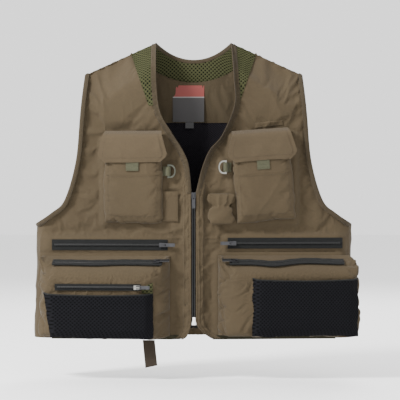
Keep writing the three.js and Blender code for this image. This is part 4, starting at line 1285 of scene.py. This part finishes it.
CARGO_LEAN = {}
for side_name in SIDES:
    low_c, high_c = plane_box(side_name, f"cargo_{side_name}_zip")
    pocket_low, pocket_high = plane_box(side_name, f"cargo_pocket_{side_name}")
    CARGO_LEAN[side_name] = (19.9 * MM, pocket_high[2] - 13 * MM)
    zip_strip(side_name, f"upper_{side_name}", 20 * MM, wavy=0.25 * MM)
    droop_size = 3.2 * MM if side_name == "left" else 1.0 * MM
    zip_strip(side_name, f"cargo_{side_name}", 15 * MM, lean=math.atan2(36.2, 26), droop=droop_size)
zip_strip("right", "mesh_right", 12 * MM)


def corner_patch():
    """A small piece of net let in beside the mesh pocket's zip."""
    _, high = plane_box("right", "cargo_pocket_right")
    u = np.linspace(0, 1, 16)[None, :]
    v = np.linspace(0, 1, 14)[:, None]
    x = mix(-92 * MM, -72 * MM, u) + 0 * v
    z = mix(-439 * MM, -419 * MM + 0 * u, v) - 9 * MM * (1 - u) * v
    h = high[1] + 0.7 * MM * np.minimum(1, 8 * np.minimum(v, 1 - v)) * np.minimum(1, 8 * np.minimum(u, 1 - u))
    piece = sheet("corner_net", on_plane("right", x, h + 0.4 * MM, z), on_plane("right", x, high[1] - 2.5 * MM, z), GREEN)
    ride(piece, "front_right", "green_mesh")


corner_patch()


def front_zip():
    """Both tapes with their rows of coil, as seen between the front edges."""
    for side, sign in SIDES.items():
        low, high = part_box(f"front_zip_{side}")
        z = np.linspace(low.z, high.z, 120)[:, None]
        x = sign * np.linspace(1.2 * MM, 15 * MM, 10)[None, :]
        x, z = np.broadcast_arrays(x, z)
        y = FRONT_Y + 2.6 * MM + 0 * x
        piece = sheet(f"front_tape_{side}", np.stack([x, y, z], -1), np.stack([x, y + 0.8 * MM, z], -1), TAPE)
        ride(piece, f"front_{side}", "zip_tape", f"front_zip_{side}")
        top, bottom = high.z - 1 * MM, -485 * MM
        pitch = 1.7 * MM
        count = int((top - bottom) / pitch)
        middle = (top + bottom) / 2
        def place(px, h, v, sign=sign, middle=middle):
            return np.stack([sign * 2.0 * MM + v, FRONT_Y + 2.4 * MM - h, middle + px], -1)
        teeth(f"front_coil_{side}", count, pitch, 1.9 * MM, 0, 2.6 * MM, place, f"front_{side}")


front_zip()


# ---------------------------------------------------------------- metal
def finish_metal(node, material, width=0.35 * MM):
    """A CAD metal piece keeps its shape, with its edges eased."""
    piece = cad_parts[node]
    piece.data.materials.clear()
    piece.data.materials.append(material)
    bevel = piece.modifiers.new("eased", "BEVEL")
    bevel.width = width
    bevel.segments = 2
    bevel.limit_method = "ANGLE"
    bevel.angle_limit = math.radians(40)


for zip_name in ("upper_right", "upper_left", "cargo_right", "cargo_left", "mesh_right"):
    finish_metal(f"{zip_name}_slider", STEEL if zip_name == "mesh_right" else DARK_METAL)
    finish_metal(f"{zip_name}_pull", DARK_METAL)
# Both D-rings are one steel; the right one's darker colour is a painted reflection.
finish_metal("d_ring_right", RING_STEEL_PAINTED_DARK, 0.9 * MM)
finish_metal("d_ring_left", STEEL, 0.9 * MM)


def moved_copy(node, name, to_local, material):
    """A new piece in the shape of a CAD one, somewhere else."""
    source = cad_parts[node].data
    points = to_local(np.array([v.co for v in source.vertices]))
    faces = [list(p.vertices) for p in source.polygons]
    mesh_piece = new_object(name, points, faces, material, sharp=30)
    bevel = mesh_piece.modifiers.new("eased", "BEVEL")
    bevel.width, bevel.segments, bevel.limit_method = 0.35 * MM, 2, "ANGLE"
    return mesh_piece


def front_slider():
    """The front zip's slider and hanging pull, shaped like the pocket zips' and centred on the coil."""
    a = SIDES["left"] * WRAP
    low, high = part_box("front_slider")
    slider_z = (low.z + high.z) / 2
    _, pocket_high = plane_box("left", "upper_left_slider")
    origin = (plane_box("left", "upper_left_slider")[0] + pocket_high) / 2
    drop = 2.4 * MM

    def turn(points):
        y = points[:, 1] - PLANE_Y
        x = points[:, 0] * math.cos(a) + y * math.sin(a) - origin[0]
        h = points[:, 0] * math.sin(a) - y * math.cos(a)
        v = points[:, 2] - origin[2]
        return np.stack([v, FRONT_Y - h + drop, slider_z + x], -1)

    ride(moved_copy("upper_left_slider", "front_slider_metal", turn, DARK_METAL), "front_slider", "zip_metal", "front_slider")
    ride(moved_copy("upper_left_pull", "front_pull_metal", turn, DARK_METAL), "front_pull", "zip_metal", "front_pull")


front_slider()


def retainer():
    """The box at the foot of the front zip, narrow at the top and wide at the foot: bright nickel, with the white
    studio's reflection painted into its near-white colour.
    """
    low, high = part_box("front_zip_box")
    rings = []
    for t in np.linspace(0, 1, 9):
        z = mix(high.z + 1 * MM, low.z, t)
        half = mix(3.0, 5.0, smooth(0.3, 0.9, t)) * MM
        ease = 1 if 0 < t < 1 else 0.85
        ring = [(math.cos(k) * half * ease, math.sin(k)) for k in np.linspace(0, 2 * math.pi, 16, endpoint=False)]
        rings.append([(x + 1 * MM, FRONT_Y + 0.6 * MM - s * 2.6 * MM * ease, z) for x, s in ring])
    ride(tube("zip_foot_box", rings, BOX_NICKEL_PAINTED_REFLECTION), "front_left", "box_metal", "front_zip_box")


retainer()


# ---------------------------------------------------------------- webbing and small pieces
def ring_tab(side):
    """Webbing folded round a D-ring's bar and sewn down."""
    low, high = plane_box(side, f"d_ring_tab_{side}")
    inward = -SIDES[side]
    bar_x = high[0] - 4.9 * MM if inward > 0 else low[0] + 4.9 * MM
    radius = 4.1 * MM
    angles = np.linspace(-math.pi / 2, math.pi, 20)
    loop = [(bar_x + inward * math.cos(t) * radius, 5.4 * MM + math.sin(t) * radius) for t in angles]
    loop += [(bar_x - inward * 5.5 * MM, 2.2 * MM), (bar_x - inward * 10.5 * MM, 2.0 * MM)]
    path = np.array([(bar_x - inward * 10.5 * MM, 0.9 * MM), *loop])
    z = np.linspace(low[2], high[2], 12)
    grid_x = np.repeat(path[:, 0][:, None], len(z), 1)
    grid_h = np.repeat(path[:, 1][:, None], len(z), 1)
    outer = on_plane(side, grid_x, grid_h, z[None, :] + 0 * grid_x)
    n = normals_of(outer)
    piece = sheet(f"ring_webbing_{side}", outer + n * 0.55 * MM, outer - n * 0.55 * MM, WEBBING)
    ride(piece, f"front_{side}", "webbing", f"d_ring_tab_{side}")


def slip_pocket():
    low, high = plane_box("right", "slip_pocket_right")
    u = np.linspace(0, 1, 40)[None, :]
    v = np.linspace(0, 1, 36)[:, None]
    x = mix(low[0], high[0], u) + 0 * v
    z = mix(low[2], high[2], v) + 0 * u
    rim = smooth(0, 0.06, v) * smooth(0, 0.05, 1 - u)
    h = 0.6 * MM + (1.6 * MM + 0.8 * MM * (crumple(x, z, 0.03, 211) - 0.5)) * rim + 0.5 * MM * smooth(0.84, 0.87, v)
    piece = sheet("slip_pocket_cloth", on_plane("right", x, h, z), on_plane("right", x, 0 * h + 0.1 * MM, z), SHELL)
    ride(piece, "front_right", "shell_fabric", "slip_pocket_right")


def tool_holder():
    """A short cloth loop drawn together in the middle, so that it gathers into two lobes."""
    low, high = plane_box("left", "tool_holder_left")
    middle = (low + high) / 2
    waist_z = middle[2] + 6 * MM
    rows, columns = 60, 64
    v = np.linspace(-1, 1, rows)[:, None]
    z = middle[2] + v * (high[2] - low[2]) / 2
    pinch = 1 - 0.42 * np.exp(-((z - waist_z) / (5.5 * MM)) ** 2)
    end = np.maximum(1 - np.abs(v) ** 4, 0) ** 0.4
    half = (high[0] - low[0]) / 2 * pinch * mix(0.75, 1, end)
    angle = np.linspace(0, 2 * math.pi, columns, endpoint=False)[None, :]
    gather = smooth(waist_z - 9 * MM, waist_z + 4 * MM, z)
    folds = 1 - np.abs(np.sin(angle * 5 + 0.8 * v)) ** 0.6
    pleat = 1 + gather * (0.38 * folds - 0.12) + (1 - gather) * 0.07 * np.sin(angle * 3 + v * 6)
    x = middle[0] + np.cos(angle) * half * pleat * (1 + 0.06 * np.sin(v * 8))
    depth = (high[1] - 1 * MM) / 2 * end * mix(0.7, 1, pinch)
    h = (high[1] + 0.6 * MM) / 2 + np.sin(angle) * depth * pleat
    rings = on_plane("left", x, np.clip(h, 0.3 * MM, high[1] + 1 * MM), z + 0 * angle)
    ride(tube("tool_holder_cloth", rings, SHELL), "front_left", "shell_fabric", "tool_holder_left")


def hem_strap():
    low, high = plane_box("right", "hem_strap")
    u = np.linspace(-1, 1, 16)[None, :]
    v = np.linspace(0, 1, 30)[:, None]
    x = -83.5 * MM + u * 11.2 * MM + 5 * MM * v
    z = mix(high[2] - 0.6 * MM, low[2], v) + (2.5 * MM * u) * v
    h = 2.8 * MM + 1.0 * MM * np.sin(v * 3) + 0.4 * MM * u * v + 0 * x
    piece = sheet("hem_strap_webbing", on_plane("right", x, h + 0.6 * MM, z), on_plane("right", x, h - 0.6 * MM, z), STRAP)
    ride(piece, "hem_strap", "binding", "hem_strap")


for side_name in SIDES:
    ring_tab(side_name)
slip_pocket()
tool_holder()
hem_strap()
